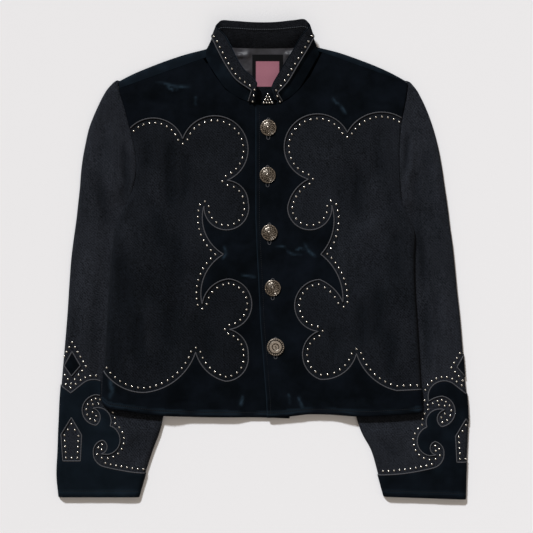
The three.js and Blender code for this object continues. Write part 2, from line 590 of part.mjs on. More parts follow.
// Back yoke: flat under the shoulders, and up over them to the forward shoulder seams
function backYoke() {
  const shoulderWall = (rows, front) => {
    const grid = rows.map((row) => {
      const seamY = shoulderSeamY(front, row.x);
      const section = [
        { y: seamY, z: 7 },
        { y: mix(seamY, row.edgeY, 0.45), z: 6.7 },
        { y: Math.max(row.edgeY - 3, mix(seamY, row.edgeY, 0.6)), z: 5.8 },
        { y: row.edgeY - 0.9, z: 3.7 },
        { y: row.edgeY - 1.7, z: 1.9 },
        { y: row.edgeY - 4.6, z: cloth / 2 },
        { y: row.edgeY - 12, z: cloth / 2 },
      ];
      return section.map((point) => new THREE.Vector3(row.x, point.y, point.z));
    });
    const sign = rows[0].x < 0 ? -1 : 1;
    return toManifold(wallOnGrid(grid, sign, -cloth / 2, cloth / 2));
  };
  const outline = [];
  const seamRight = rightFront[yokeSeamRow];
  const seamLeft = leftFront[yokeSeamRow];
  outline.push(new THREE.Vector2(seamRight.sideX, seamRight.sideY + seamGap));
  outline.push(new THREE.Vector2(seamLeft.sideX, seamLeft.sideY + seamGap));
  for (const row of leftFront.slice(yokeSeamRow + 1, -1)) {
    outline.push(new THREE.Vector2(row.sideX, row.sideY));
  }
  for (const row of leftShoulder) {
    outline.push(new THREE.Vector2(row.x, row.edgeY - 8));
  }
  outline.push(new THREE.Vector2(84, 329), new THREE.Vector2(-84, 329));
  for (const row of [...rightShoulder].reverse()) {
    outline.push(new THREE.Vector2(row.x, row.edgeY - 8));
  }
  for (const row of rightFront.slice(yokeSeamRow + 1, -1).reverse()) {
    outline.push(new THREE.Vector2(row.sideX, row.sideY));
  }
  const flat = toManifold(flatPiece(outline, 0, cloth));
  const right = shoulderWall(rightShoulder, rightFront[rightFront.length - 1]);
  const left = shoulderWall(leftShoulder, leftFront[leftFront.length - 1]);
  return fromManifold(flat.add(right).add(left));
}

// Velvet on a front: the front's points moved out, less the scalloped twill field
function frontVelvet(grid, sign, rows, scallop) {
  const from = cloth / 2 + seamGap;
  const whole = toManifold(wallOnGrid(grid, sign, from, from + applique));
  const outside = Math.sign(rows[0].sideX) * 330;
  const edge = arcPoints(scallop);
  const field = [...edge];
  field.push(new THREE.Vector2(outside, edge[edge.length - 1].y), new THREE.Vector2(outside, edge[0].y));
  const armhole = rows.slice(firstArmholeRow).map((row) => new THREE.Vector2(row.sideX, row.sideY));
  const beyondArmhole = [...armhole];
  beyondArmhole.push(new THREE.Vector2(outside, armhole[armhole.length - 1].y + 12));
  beyondArmhole.push(new THREE.Vector2(outside, armhole[0].y));
  return fromManifold(whole.subtract(prism(field)).subtract(prism(beyondArmhole)));
}

function mirrorCuff(rows) {
  return rows.map((row) => ({
    x: 2 * cuffMirror.axisX - row.x,
    y: row.y + cuffMirror.dropY,
    bulge: row.bulge ? -row.bulge : 0,
  }));
}

// Velvet of a cuff, with the two windows that show twill, and the diamond above it
function cuffPieces(grid, sign, mirrored) {
  const place = mirrored ? mirrorCuff : (rows) => rows;
  const from = cloth / 2 + seamGap;
  const sleeve = toManifold(wallOnGrid(grid.slice(14), sign, from, from + applique));
  const edge = arcPoints(place(cuffEdge), 8);
  const last = edge[edge.length - 1];
  const region = [...edge, new THREE.Vector2(last.x, -400), new THREE.Vector2(edge[0].x, -400)];
  const velvet = sleeve
    .intersect(prism(region))
    .subtract(prism(vectors(place(cuffPentagon))))
    .subtract(prism(vectors(place(underBody))));
  const diamond = sleeve.intersect(prism(vectors(place(cuffDiamond))));
  return { velvet: fromManifold(largestPart(velvet)), diamond: fromManifold(largestPart(diamond)) };
}

function largestPart(solid) {
  const parts = solid.decompose();
  return parts.reduce((best, part) => (part.volume() > best.volume() ? part : best));
}

// Collar stand: a ruled wall between the neck seam and the top edge
function collarGrid(steps) {
  const curve = (prefix) => new THREE.CatmullRomCurve3(collarRows.map((row) => (
    new THREE.Vector3(row[`${prefix}X`], row[`${prefix}Y`], row[`${prefix}Z`]))), false, 'centripetal');
  const seam = curve('seam');
  const top = curve('top');
  const rows = [];
  for (let i = 0; i <= collarSections; i += 1) {
    const t = i / collarSections;
    const low = seam.getPoint(t);
    const high = top.getPoint(t);
    const belly = new THREE.Vector3(0, 0, 1.6);
    rows.push(steps.map((v) => low.clone().lerp(high, v).addScaledVector(belly, 4 * v * (1 - v))));
  }
  return rows;
}

function backLining() {
  const z = cloth + seamGap;
  const outline = [
    ...liningRows.map((row) => new THREE.Vector2(row.rightX, row.y)),
    ...[...liningRows].reverse().map((row) => new THREE.Vector2(row.leftX, row.y)),
  ];
  return flatPiece(outline, z, liningWall);
}

// A domed button with a rolled rim, turned about its own axis
function buttonGeometry() {
  const profile = [
    [0, 0],
    [buttonRadius * 0.86, 0],
    [buttonRadius, 1.1],
    [buttonRadius * 0.97, 2.2],
    [buttonRadius * 0.86, 2.6],
    [buttonRadius * 0.6, 3.7],
    [buttonRadius * 0.3, buttonHeight - 0.5],
    [0, buttonHeight],
  ];
  const geometry = new THREE.LatheGeometry(profile.map(([r, z]) => new THREE.Vector2(r, z)), 18);
  geometry.rotateX(Math.PI / 2);
  geometry.deleteAttribute('uv');
  geometry.deleteAttribute('normal');
  return BufferGeometryUtils.mergeVertices(geometry, 1e-4);
}

const group = new THREE.Group();

function addPiece(name, geometry, material) {
  const plain = geometry.clone();
  plain.deleteAttribute('normal');
  plain.deleteAttribute('uv');
  const merged = BufferGeometryUtils.mergeVertices(plain, 1e-4);
  merged.computeVertexNormals();
  const mesh = new THREE.Mesh(merged, material);
  mesh.name = name;
  group.add(mesh);
  return mesh;
}

const fronts = [
  { name: 'right', rows: rightFront, sign: 1, isLeft: false, scallop: rightScallop },
  { name: 'left', rows: leftFront, sign: -1, isLeft: true, scallop: leftScallop },
];
for (const front of fronts) {
  const grid = frontGrid(front.rows, front.isLeft);
  addPiece(`${front.name}_front`, wallOnGrid(grid, front.sign, -cloth / 2, cloth / 2), colours.twill);
  const velvet = frontVelvet(grid, front.sign, front.rows, front.scallop);
  addPiece(`${front.name}_front_velvet`, velvet, colours.velvet);
}

const sleeves = [
  { name: 'right', rows: rightSleeve, sign: -1, mirrored: false },
  { name: 'left', rows: leftSleeve, sign: 1, mirrored: true },
];
for (const sleeve of sleeves) {
  const grid = sleeveGrid(sleeve.rows);
  addPiece(`${sleeve.name}_sleeve_top`, wallOnGrid(grid, sleeve.sign, -cloth / 2, cloth / 2), colours.twill);
  addPiece(`${sleeve.name}_sleeve_under`, underSleeve(sleeve.rows), colours.twill);
  const cuff = cuffPieces(grid, sleeve.sign, sleeve.mirrored);
  addPiece(`${sleeve.name}_cuff_velvet`, cuff.velvet, colours.velvet);
  addPiece(`${sleeve.name}_cuff_diamond`, cuff.diamond, colours.velvet);
}

addPiece('back_panel', backPanel(), colours.twill);
addPiece('back_yoke', backYoke(), colours.velvet);
addPiece('back_lining', backLining(), colours.lining);

const labelZ = cloth + liningWall + 2 * seamGap + label.wall / 2;
const labelShape = new THREE.BoxGeometry(label.width, label.height, label.wall);
const labelPiece = addPiece('neck_label', labelShape, colours.label);
labelPiece.position.set(label.x, label.y, labelZ);

const stand = collarGrid(collarSteps);
addPiece('collar', wallOnGrid(stand, 1, -collarWall / 2, collarWall / 2), colours.velvet);
const bandFrom = collarWall / 2 + seamGap * 2;
const band = toManifold(wallOnGrid(collarGrid(collarSteps.slice(1, 3)), 1, bandFrom, bandFrom + applique));
const clearOfStand = toManifold(wallOnGrid(stand, 1, -collarWall / 2, bandFrom - seamGap));
addPiece('collar_band', fromManifold(largestPart(band.subtract(clearOfStand))), colours.twill);

const tabPoints = [
  new THREE.Vector2(neckTab.x - neckTab.baseWidth / 2, neckTab.baseY),
  new THREE.Vector2(neckTab.x + neckTab.baseWidth / 2, neckTab.baseY),
  new THREE.Vector2(neckTab.x + neckTab.tipWidth / 2, neckTab.tipY),
  new THREE.Vector2(neckTab.x - neckTab.tipWidth / 2, neckTab.tipY),
];
addPiece('neck_tab', flatPiece(tabPoints, neckTab.z, neckTab.wall), colours.velvet);

const buttonSeat = overLapLevel + cloth / 2 + seamGap + applique + seamGap;
buttons.forEach((place, k) => {
  const button = addPiece(`button_${k + 1}`, buttonGeometry(), colours.silver);
  button.position.set(place.x, place.y, buttonSeat);
});

// The origin is the middle of the footprint, on the floor
const bounds = new THREE.Box3().setFromObject(group);
const middle = bounds.getCenter(new THREE.Vector3());
group.position.set(-middle.x, -middle.y, -bounds.min.z);
group.updateMatrixWorld(true);

export default group;
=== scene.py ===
import bpy
import bmesh
import math
import numpy as np
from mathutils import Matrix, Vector
from mathutils.geometry import delaunay_2d_cdt


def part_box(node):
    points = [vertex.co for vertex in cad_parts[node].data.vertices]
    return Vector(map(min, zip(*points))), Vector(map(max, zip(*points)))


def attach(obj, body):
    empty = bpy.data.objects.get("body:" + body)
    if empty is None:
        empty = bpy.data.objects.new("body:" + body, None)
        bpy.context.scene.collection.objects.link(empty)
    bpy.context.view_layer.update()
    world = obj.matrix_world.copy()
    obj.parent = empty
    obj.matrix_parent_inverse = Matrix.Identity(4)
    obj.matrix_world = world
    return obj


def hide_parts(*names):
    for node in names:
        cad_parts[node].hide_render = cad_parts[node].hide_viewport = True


# A western jacket laid flat on its back and buttoned up.
# Tables are in millimetres on the pattern's own grid; place() moves them into the frame.
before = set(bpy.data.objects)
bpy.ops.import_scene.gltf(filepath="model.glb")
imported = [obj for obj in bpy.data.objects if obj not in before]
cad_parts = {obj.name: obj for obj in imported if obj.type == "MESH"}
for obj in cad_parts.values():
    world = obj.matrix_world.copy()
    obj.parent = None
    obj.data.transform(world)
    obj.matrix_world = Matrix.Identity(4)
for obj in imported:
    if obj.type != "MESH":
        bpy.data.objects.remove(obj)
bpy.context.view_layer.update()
bpy.ops.object.select_all(action="DESELECT")

mm = 0.001
firstButton = (9.0, 206.5)
buttonLow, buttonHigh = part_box("button_1")
shiftX = (buttonLow.x + buttonHigh.x) / 2 - firstButton[0] * mm
shiftY = (buttonLow.y + buttonHigh.y) / 2 - firstButton[1] * mm

cloth = {
    "wall": 1.8,  # twill and lining together
    "applique": 1.1,  # velvet laid on the twill
    "proud": 1.4,  # how far the velvet's face stands above the twill's
    "backLift": 4.5,  # underside of the back where it lies on a sleeve
    "rollReach": 6.9,
    "rollEnd": 4.9,
    "armholeDip": 1.5,
    "overLap": 6.7,
    "underLap": 3.0,
    "chest": 6.3,
    "pressed": 3.0,
    "crown": 6.4,
}


def place(points):
    moved = np.array(points, dtype=float) * mm
    moved[:, 0] += shiftX
    moved[:, 1] += shiftY
    return moved


def smooth(start, end, value):
    t = np.clip((value - start) / (end - start), 0, 1)
    return t * t * (3 - 2 * t)


def mix(a, b, t):
    return a + (b - a) * t


# Curves and distances on the flat

def curveThrough(points, perSpan):
    points = np.array(points, dtype=float)
    padded = np.vstack([2 * points[0] - points[1], points, 2 * points[-1] - points[-2]])
    found = []
    t = (np.arange(perSpan) / perSpan)[:, None]
    for k in range(len(points) - 1):
        p0, p1, p2, p3 = padded[k:k + 4]
        d0 = max(np.linalg.norm(p1 - p0) ** 0.5, 1e-4)
        d1 = max(np.linalg.norm(p2 - p1) ** 0.5, 1e-4)
        d2 = max(np.linalg.norm(p3 - p2) ** 0.5, 1e-4)
        leave = ((p1 - p0) / d0 - (p2 - p0) / (d0 + d1) + (p2 - p1) / d1) * d1
        arrive = ((p2 - p1) / d1 - (p3 - p1) / (d1 + d2) + (p3 - p2) / d2) * d1
        found.append(
            p1 * (2 * t ** 3 - 3 * t ** 2 + 1) + leave * (t ** 3 - 2 * t ** 2 + t)
            + p2 * (3 * t ** 2 - 2 * t ** 3) + arrive * (t ** 3 - t ** 2)
        )
    found.append(points[-1:])
    return np.vstack(found)


def evenly(line, pitch):
    line = np.array(line, dtype=float)
    steps = np.linalg.norm(np.diff(line, axis=0), axis=1)
    along = np.concatenate([[0], np.cumsum(steps)])
    count = max(1, int(round(along[-1] / pitch)))
    wanted = np.linspace(0, along[-1], count + 1)
    return np.stack([np.interp(wanted, along, line[:, k]) for k in range(line.shape[1])], axis=1)


def arcLine(rows, step):
    # rows are (x, y, bulge); bulge is the tangent of a quarter of the arc's angle
    line = [np.array(rows[0][:2], dtype=float)]
    for x, y, bulge in rows[1:]:
        start, end = line[-1], np.array([x, y], dtype=float)
        angle = 4 * math.atan(bulge)
        chord = end - start
        length = np.linalg.norm(chord)
        if abs(angle) < 0.05:
            count = max(1, int(length / step))
            line += [start + chord * k / count for k in range(1, count + 1)]
            continue
        normal = np.array([-chord[1], chord[0]])
        centre = start + chord / 2 + normal * 0.5 / math.tan(angle / 2)
        radius = np.linalg.norm(start - centre)
        count = max(2, int(abs(angle) * radius / step))
        for k in range(1, count + 1):
            turn = angle * k / count
            arm = start - centre
            line.append(centre + np.array([
                arm[0] * math.cos(turn) - arm[1] * math.sin(turn),
                arm[0] * math.sin(turn) + arm[1] * math.cos(turn),
            ]))
    return np.array(line)


def distanceTo(points, line):
    # distance to a polyline, and how far along it the nearest place is, from 0 to 1
    line = np.array(line, dtype=float)
    start, run = line[:-1], np.diff(line, axis=0)
    squared = np.maximum((run ** 2).sum(1), 1e-9)
    ends = np.concatenate([[0], np.cumsum(np.sqrt(squared))])
    distances, places = [], []
    for part in np.array_split(points, max(1, len(points) * len(run) // 1500000 + 1)):
        if not len(part):
            continue
        offset = part[:, None, :] - start[None]
        t = np.clip((offset * run[None]).sum(2) / squared, 0, 1)
        gap = np.linalg.norm(offset - t[:, :, None] * run[None], axis=2)
        best = gap.argmin(1)
        rows = np.arange(len(part))
        distances.append(gap[rows, best])
        places.append((ends[best] + t[rows, best] * np.sqrt(squared[best])) / ends[-1])
    return np.concatenate(distances), np.concatenate(places)


def insideOf(points, loop):
    loop = np.array(loop, dtype=float)
    after = np.roll(loop, -1, axis=0)
    found = []
    for part in np.array_split(points, max(1, len(points) * len(loop) // 3000000 + 1)):
        x, y = part[:, 0:1], part[:, 1:2]
        crosses = (loop[:, 1] > y) != (after[:, 1] > y)
        rise = np.where(after[:, 1] == loop[:, 1], 1e-9, after[:, 1] - loop[:, 1])
        where = (after[:, 0] - loop[:, 0]) * (y - loop[:, 1]) / rise + loop[:, 0]
        found.append(((crosses & (x < where)).sum(1) % 2) == 1)
    return np.concatenate(found)


def shifted(line, distance):
    # the line moved to its left
    line = np.array(line, dtype=float)
    run = np.gradient(line, axis=0)
    run /= np.maximum(np.linalg.norm(run, axis=1), 1e-9)[:, None]
    return line + np.stack([-run[:, 1], run[:, 0]], axis=1) * distance


def softNoise(x, y, size, seed):
    rng = np.random.default_rng(seed)
    lattice = rng.uniform(-1, 1, (96, 96))
    u, v = x / size + 40, y / size + 40
    i, j = np.floor(u).astype(int), np.floor(v).astype(int)
    s, t = u - i, v - j
    s, t = s * s * (3 - 2 * s), t * t * (3 - 2 * t)
    i, j = i % 95, j % 95
    low = mix(lattice[i, j], lattice[i + 1, j], s)
    high = mix(lattice[i, j + 1], lattice[i + 1, j + 1], s)
    return mix(low, high, t)


def strokeHeight(x, y, strokes):
    # soft troughs (negative) and ridges (positive): (points, halfWidth, depth)
    points = np.stack([x, y], axis=1)
    height = np.zeros(len(x))
    for line, halfWidth, depth in strokes:
        path = curveThrough(line, 6) if len(line) > 2 else np.array(line, dtype=float)
        low, high = path.min(0) - 3 * halfWidth, path.max(0) + 3 * halfWidth
        near = np.where(((points > low) & (points < high)).all(1))[0]
        if not len(near):
            continue
        gap, along = distanceTo(points[near], path)
        ends = smooth(-0.02, 0.3, along) * (1 - smooth(0.7, 1.02, along))
        height[near] += depth * ends * np.exp(-(gap / halfWidth) ** 2)
    return height


# Meshes

def newObject(name, points, faces, inMillimetres=True):
    mesh = bpy.data.meshes.new(name)
    mesh.from_pydata(place(points).tolist() if inMillimetres else points, [], faces)
    mesh.update()
    made = bpy.data.objects.new(name, mesh)
    bpy.context.scene.collection.objects.link(made)
    return made


def applyModifiers(made):
    bpy.ops.object.select_all(action="DESELECT")
    made.select_set(True)
    bpy.context.view_layer.objects.active = made
    for modifier in list(made.modifiers):
        bpy.ops.object.modifier_apply(modifier=modifier.name)


def smoothShade(made, angle):
    bpy.ops.object.select_all(action="DESELECT")
    made.select_set(True)
    bpy.context.view_layer.objects.active = made
    bpy.ops.object.shade_smooth_by_angle(angle=math.radians(angle))


def thicken(made, wall, innerSlot=0):
    solidify = made.modifiers.new("wall", "SOLIDIFY")
    solidify.thickness = wall * mm
    solidify.offset = -1
    solidify.use_quality_normals = True
    solidify.material_offset = innerSlot
    applyModifiers(made)
    smoothShade(made, 50)


def paint(made, name, values):
    layer = made.data.attributes.new(name, "FLOAT", "POINT")
    layer.data.foreach_set("value", np.array(values, dtype=np.float32))


def cutSheet(name, keep, drop, spacing, extra, heightOf):
    # A sheet cut along its outlines: inside every keep loop and outside every drop loop
    loops = [evenly(np.vstack([loop, loop[:1]]), spacing * 0.7)[:-1] for loop in keep + drop]
    low, high = loops[0].min(0), loops[0].max(0)
    grid = []
    for k, y in enumerate(np.arange(low[1], high[1], spacing * 0.866)):
        row = np.arange(low[0] + (k % 2) * spacing / 2, high[0], spacing)
        grid.append(np.stack([row, np.full(len(row), y)], axis=1))
    grid = np.vstack(grid)
    extra = [evenly(line, spacing * 0.8) for line in extra]
    for loop in loops + extra:
        gap = distanceTo(grid, loop)[0]
        grid = grid[gap > spacing * 0.5]
    grid = np.vstack([grid] + extra)
    for loop in keep:
        grid = grid[insideOf(grid, loop)]
    for loop in drop:
        grid = grid[~insideOf(grid, loop)]
    for loop in loops:
        grid = grid[distanceTo(grid, np.vstack([loop, loop[:1]]))[0] > 0.25]
    points, edges = [], []
    for loop in loops:
        first = len(points)
        points += [Vector(p) for p in loop.tolist()]
        edges += [(first + k, first + (k + 1) % len(loop)) for k in range(len(loop))]
    points += [Vector(p) for p in grid.tolist()]
    found = delaunay_2d_cdt(points, edges, [], 0, 1e-3)
    flat = np.array([tuple(p) for p in found[0]])
    faces = np.array([face for face in found[2] if len(face) == 3])
    middle = flat[faces].mean(1)
    wanted = np.ones(len(faces), dtype=bool)
    for loop in keep:
        wanted &= insideOf(middle, loop)
    for loop in drop:
        wanted &= ~insideOf(middle, loop)
    corners = flat[faces]
    cross = np.cross(corners[:, 1] - corners[:, 0], corners[:, 2] - corners[:, 0])
    wanted &= np.abs(cross) > 1e-3
    faces = faces[wanted]
    faces[cross[wanted] < 0] = faces[cross[wanted] < 0][:, ::-1]
    used, renumbered = np.unique(faces, return_inverse=True)
    flat = flat[used]
    faces = renumbered.reshape(faces.shape)
    height = heightOf(flat[:, 0], flat[:, 1])
    made = newObject(name, np.column_stack([flat, height]), faces.tolist())
    return made, flat


def gridSheet(name, grid):
    rows, columns = grid.shape[:2]
    faces = []
    for i in range(rows - 1):
        for j in range(columns - 1):
            a = i * columns + j
            faces.append((a, a + 1, a + columns + 1, a + columns))
    return newObject(name, grid.reshape(-1, 3), faces)


def finish(made, material, replaced=()):
    if material is not None:
        made.data.materials.clear()
        made.data.materials.append(material)
    if made.name.endswith(".001"):
        made.name = made.name[:-4] + "_cloth"
    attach(made, "root")
    if replaced:
        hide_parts(*replaced)
    return made


# Materials

def hexColour(text):
    values = [int(text[k:k + 2], 16) / 255 for k in (1, 3, 5)]
    return tuple(v / 12.92 if v <= 0.04045 else ((v + 0.055) / 1.055) ** 2.4 for v in values) + (1.0,)


def addNode(tree, kind, settings=None, links=None):
    node = tree.nodes.new(kind)
    for key, value in (settings or {}).items():
        if isinstance(key, int) or key in node.inputs:
            node.inputs[key].default_value = value
        else:
            setattr(node, key, value)
    for key, socket in (links or {}).items():
        tree.links.new(socket, node.inputs[key])
    return node


def newMaterial(name, settings):
    made = bpy.data.materials.new(name)
    made.use_nodes = True
    tree = made.node_tree
    tree.nodes.clear()
    shader = addNode(tree, "ShaderNodeBsdfPrincipled", settings)
    output = addNode(tree, "ShaderNodeOutputMaterial")
    tree.links.new(shader.outputs["BSDF"], output.inputs["Surface"])
    return made, tree, shader


def mixColours(tree, factor, first, second):
    settings = {"data_type": "RGBA"}
    links = {0: factor}
    for index, value in ((6, first), (7, second)):
        if isinstance(value, tuple):
            settings[index] = value
        else:
            links[index] = value
    return addNode(tree, "ShaderNodeMix", settings, links).outputs[2]


twillLook = {"dark": "#07090c", "light": "#2c2f36", "ribPitch": 3.2, "fleck": 1.8, "shadeDark": "#020304", "shadeLight": "#14181e",
             "bump": 0.0006}


def makeTwill():
    # Wool twill, woven from grey and black yarn: a matt, flecked charcoal with a fine slant.
    # Its nap attribute paints shade into the colour: darker on the body, in the troughs and on the neck facing, lighter
    # on the swells.
    # The real rib is 0.6 mm apart; it is drawn 3.2 mm apart, so that it shows at this distance.
    made, tree, shader = newMaterial("wool twill", {"Roughness": 0.92, "Sheen Weight": 0.03, "Sheen Roughness": 0.5,
                                                    "Specular IOR Level": 0.06})
    shader.inputs["Sheen Tint"].default_value = hexColour("#a9adb5")
    where = addNode(tree, "ShaderNodeTexCoord").outputs["Object"]
    rib = addNode(tree, "ShaderNodeTexWave", {
        "wave_type": "BANDS", "bands_direction": "DIAGONAL", "Scale": 0.628 / (twillLook["ribPitch"] * 1.414 * mm),
        "Distortion": 3.0, "Detail": 2.0, "Detail Scale": 3.0}, {"Vector": where})
    fleck = addNode(tree, "ShaderNodeTexNoise", {"Scale": 1 / (twillLook["fleck"] * mm), "Detail": 2.0,
                                                 "Roughness": 0.6}, {"Vector": where})
    slub = addNode(tree, "ShaderNodeMapping", {"Scale": (1.0, 0.28, 1.0)}, {"Vector": where})
    streak = addNode(tree, "ShaderNodeTexNoise", {"Scale": 130.0, "Detail": 3.0, "Roughness": 0.6},
                     {"Vector": slub.outputs[0]})
    cloud = addNode(tree, "ShaderNodeTexNoise", {"Scale": 9.0, "Detail": 2.0}, {"Vector": where})
    yarn = addNode(tree, "ShaderNodeMath", {"operation": "MULTIPLY_ADD", 1: 0.12},
                   {0: rib.outputs["Fac"], 2: fleck.outputs["Fac"]})
    grain = addNode(tree, "ShaderNodeMath", {"operation": "MULTIPLY_ADD", 1: 0.22},
                    {0: streak.outputs["Fac"], 2: yarn.outputs[0]})
    both = addNode(tree, "ShaderNodeMath", {"operation": "MULTIPLY_ADD", 1: 0.25},
                   {0: cloud.outputs["Fac"], 2: grain.outputs[0]})
    spread = addNode(tree, "ShaderNodeMapRange", {"From Min": 0.56, "From Max": 1.04}, {"Value": both.outputs[0]})
    # raised is the unshaded twill colour and pressed the twill with painted shade; the nap attribute mixes between them
    raised = mixColours(tree, spread.outputs[0], hexColour(twillLook["dark"]), hexColour(twillLook["light"]))
    pressed = mixColours(tree, spread.outputs[0], hexColour(twillLook["shadeDark"]),
                         hexColour(twillLook["shadeLight"]))
    nap = addNode(tree, "ShaderNodeAttribute", {"attribute_name": "nap"})
    colour = mixColours(tree, nap.outputs["Fac"], raised, pressed)
    tree.links.new(colour, shader.inputs["Base Color"])
    bump = addNode(tree, "ShaderNodeBump", {"Strength": 0.6, "Distance": twillLook["bump"]},
                   {"Height": yarn.outputs[0]})
    tree.links.new(bump.outputs[0], shader.inputs["Normal"])
    return made


velvetLook = {"deep": "#04070b", "raised": "#0b1017", "turned": "#273642", "pile": 1.3}


def makeVelvet():
    # Cotton velvet, a cut pile: it swallows light face on and shows a cool sheen where the pile turns.
    # Its crush attribute lightens the colour where the pile has been pressed over, and also paints sheen highlights
    # along the left front edge, beside the stitching, on the right cuff and over the shoulders.
    made, tree, shader = newMaterial("cotton velvet", {"Roughness": 0.9, "Sheen Weight": 0.12, "Sheen Roughness": 0.28,
                                                       "Specular IOR Level": 0.04})
    shader.inputs["Sheen Tint"].default_value = hexColour("#7d97ad")
    where = addNode(tree, "ShaderNodeTexCoord").outputs["Object"]
    cloud = addNode(tree, "ShaderNodeTexNoise", {"Scale": 22.0, "Detail": 4.0, "Roughness": 0.62}, {"Vector": where})
    pile = addNode(tree, "ShaderNodeTexNoise", {"Scale": 1 / (velvetLook["pile"] * mm), "Detail": 1.0},
                   {"Vector": where})
    spread = addNode(tree, "ShaderNodeMapRange", {"From Min": 0.38, "From Max": 0.72}, {"Value": cloud.outputs["Fac"]})
    colour = mixColours(tree, spread.outputs[0], hexColour(velvetLook["deep"]), hexColour(velvetLook["raised"]))
    # painted sheen: the attribute mixes in the lighter colour of crushed pile and of painted highlights
    crush = addNode(tree, "ShaderNodeAttribute", {"attribute_name": "crush"})
    colour = mixColours(tree, crush.outputs["Fac"], colour, hexColour(velvetLook["turned"]))
    tree.links.new(colour, shader.inputs["Base Color"])
    bump = addNode(tree, "ShaderNodeBump", {"Strength": 0.35, "Distance": 0.0004}, {"Height": pile.outputs["Fac"]})
    tree.links.new(bump.outputs[0], shader.inputs["Normal"])
    return made


def makeLining():
    # Acetate satin lining: smooth charcoal that catches soft lights on each crumple.
    made, tree, shader = newMaterial("acetate satin", {"Roughness": 0.5, "Specular IOR Level": 0.32,
                                                       "Sheen Weight": 0.05})
    where = addNode(tree, "ShaderNodeTexCoord").outputs["Object"]
    cloud = addNode(tree, "ShaderNodeTexNoise", {"Scale": 60.0, "Detail": 3.0}, {"Vector": where})
    colour = mixColours(tree, cloud.outputs["Fac"], hexColour("#121214"), hexColour("#3b3a40"))
    thread = addNode(tree, "ShaderNodeTexWave", {"wave_type": "BANDS", "bands_direction": "X", "Scale": 240.0,
                                                 "Distortion": 0.4}, {"Vector": where})
    bump = addNode(tree, "ShaderNodeBump", {"Strength": 0.12, "Distance": 0.0002}, {"Height": thread.outputs["Fac"]})
    tree.links.new(colour, shader.inputs["Base Color"])
    tree.links.new(bump.outputs[0], shader.inputs["Normal"])
    return made


def makeLabelCloth():
    # Damask label, woven in rose on black polyester: dull ground with a satin field.
    made, tree, shader = newMaterial("damask label", {"Roughness": 0.7, "Specular IOR Level": 0.08})
    field = addNode(tree, "ShaderNodeAttribute", {"attribute_name": "field"})
    where = addNode(tree, "ShaderNodeTexCoord").outputs["Object"]
    weave = addNode(tree, "ShaderNodeTexWave", {"wave_type": "BANDS", "bands_direction": "Y", "Scale": 190.0,
                                                "Distortion": 0.6}, {"Vector": where})
    rose = mixColours(tree, weave.outputs["Fac"], hexColour("#855460"), hexColour("#a87280"))
    colour = mixColours(tree, field.outputs["Fac"], hexColour("#08090b"), rose)
    tree.links.new(colour, shader.inputs["Base Color"])
    bump = addNode(tree, "ShaderNodeBump", {"Strength": 0.3, "Distance": 0.0002}, {"Height": weave.outputs["Fac"]})
    tree.links.new(bump.outputs[0], shader.inputs["Normal"])
    return made


def makeCordCloth():
    # Two-ply rayon cord, couched down: mid grey, each ply catching a small light.
    made, tree, shader = newMaterial("rayon cord", {"Roughness": 0.7, "Sheen Weight": 0.05,
                                                       "Specular IOR Level": 0.2})
    where = addNode(tree, "ShaderNodeTexCoord").outputs["Object"]
    fibre = addNode(tree, "ShaderNodeTexNoise", {"Scale": 900.0, "Detail": 2.0}, {"Vector": where})
    colour = mixColours(tree, fibre.outputs["Fac"], hexColour("#26272a"), hexColour("#56575c"))
    tree.links.new(colour, shader.inputs["Base Color"])
    bump = addNode(tree, "ShaderNodeBump", {"Strength": 0.4, "Distance": 0.0002}, {"Height": fibre.outputs["Fac"]})
    tree.links.new(bump.outputs[0], shader.inputs["Normal"])
    return made


def makeThread(name, dark, light):
    # Polyester sewing thread: a dull dash with a small shine along it.
    made, tree, shader = newMaterial(name, {"Roughness": 0.6, "Specular IOR Level": 0.2})
    where = addNode(tree, "ShaderNodeTexCoord").outputs["Object"]
    fibre = addNode(tree, "ShaderNodeTexNoise", {"Scale": 1500.0}, {"Vector": where})
    colour = mixColours(tree, fibre.outputs["Fac"], hexColour(dark), hexColour(light))
    tree.links.new(colour, shader.inputs["Base Color"])
    return made


def makeSilver(name, bright, dark, roughness):
    # Cast nickel silver, tumbled and blackened: bright on the raised metal, dark in the cuts.
    made, tree, shader = newMaterial(name, {"Metallic": 1.0, "Roughness": roughness})
    where = addNode(tree, "ShaderNodeTexCoord").outputs["Object"]
    tarnish = addNode(tree, "ShaderNodeTexNoise", {"Scale": 700.0, "Detail": 3.0}, {"Vector": where})
    spread = addNode(tree, "ShaderNodeMapRange", {"From Min": 0.35, "From Max": 0.6},
                     {"Value": tarnish.outputs["Fac"]})
    colour = mixColours(tree, spread.outputs[0], hexColour(dark), hexColour(bright))
    tree.links.new(colour, shader.inputs["Base Color"])
    bump = addNode(tree, "ShaderNodeBump", {"Strength": 0.3, "Distance": 0.0002},
                   {"Height": tarnish.outputs["Fac"]})
    tree.links.new(bump.outputs[0], shader.inputs["Normal"])
    return made


twill = makeTwill()
velvet = makeVelvet()
satin = makeLining()
labelCloth = makeLabelCloth()
cordCloth = makeCordCloth()
thread = makeThread("black sewing thread", "#0b0d10", "#1c2026")
greyThread = makeThread("grey sewing thread", "#3c4146", "#63696f")
nailSilver = makeSilver("nickel nailhead", "#e6e2da", "#a9a297", 0.25)
castSilver = makeSilver("antiqued nickel silver", "#b3a99d", "#4a443e", 0.34)
brightSilver = makeSilver("worn nickel silver", "#d9cfc3", "#93897d", 0.4)
blackened = makeSilver("blackened recess", "#2b2723", "#14120f", 0.6)
print("materials made")

# Fronts. Rows run from the hem up: side x, y, centre-front or neck x, y, side height, 1 where the side is a fold.

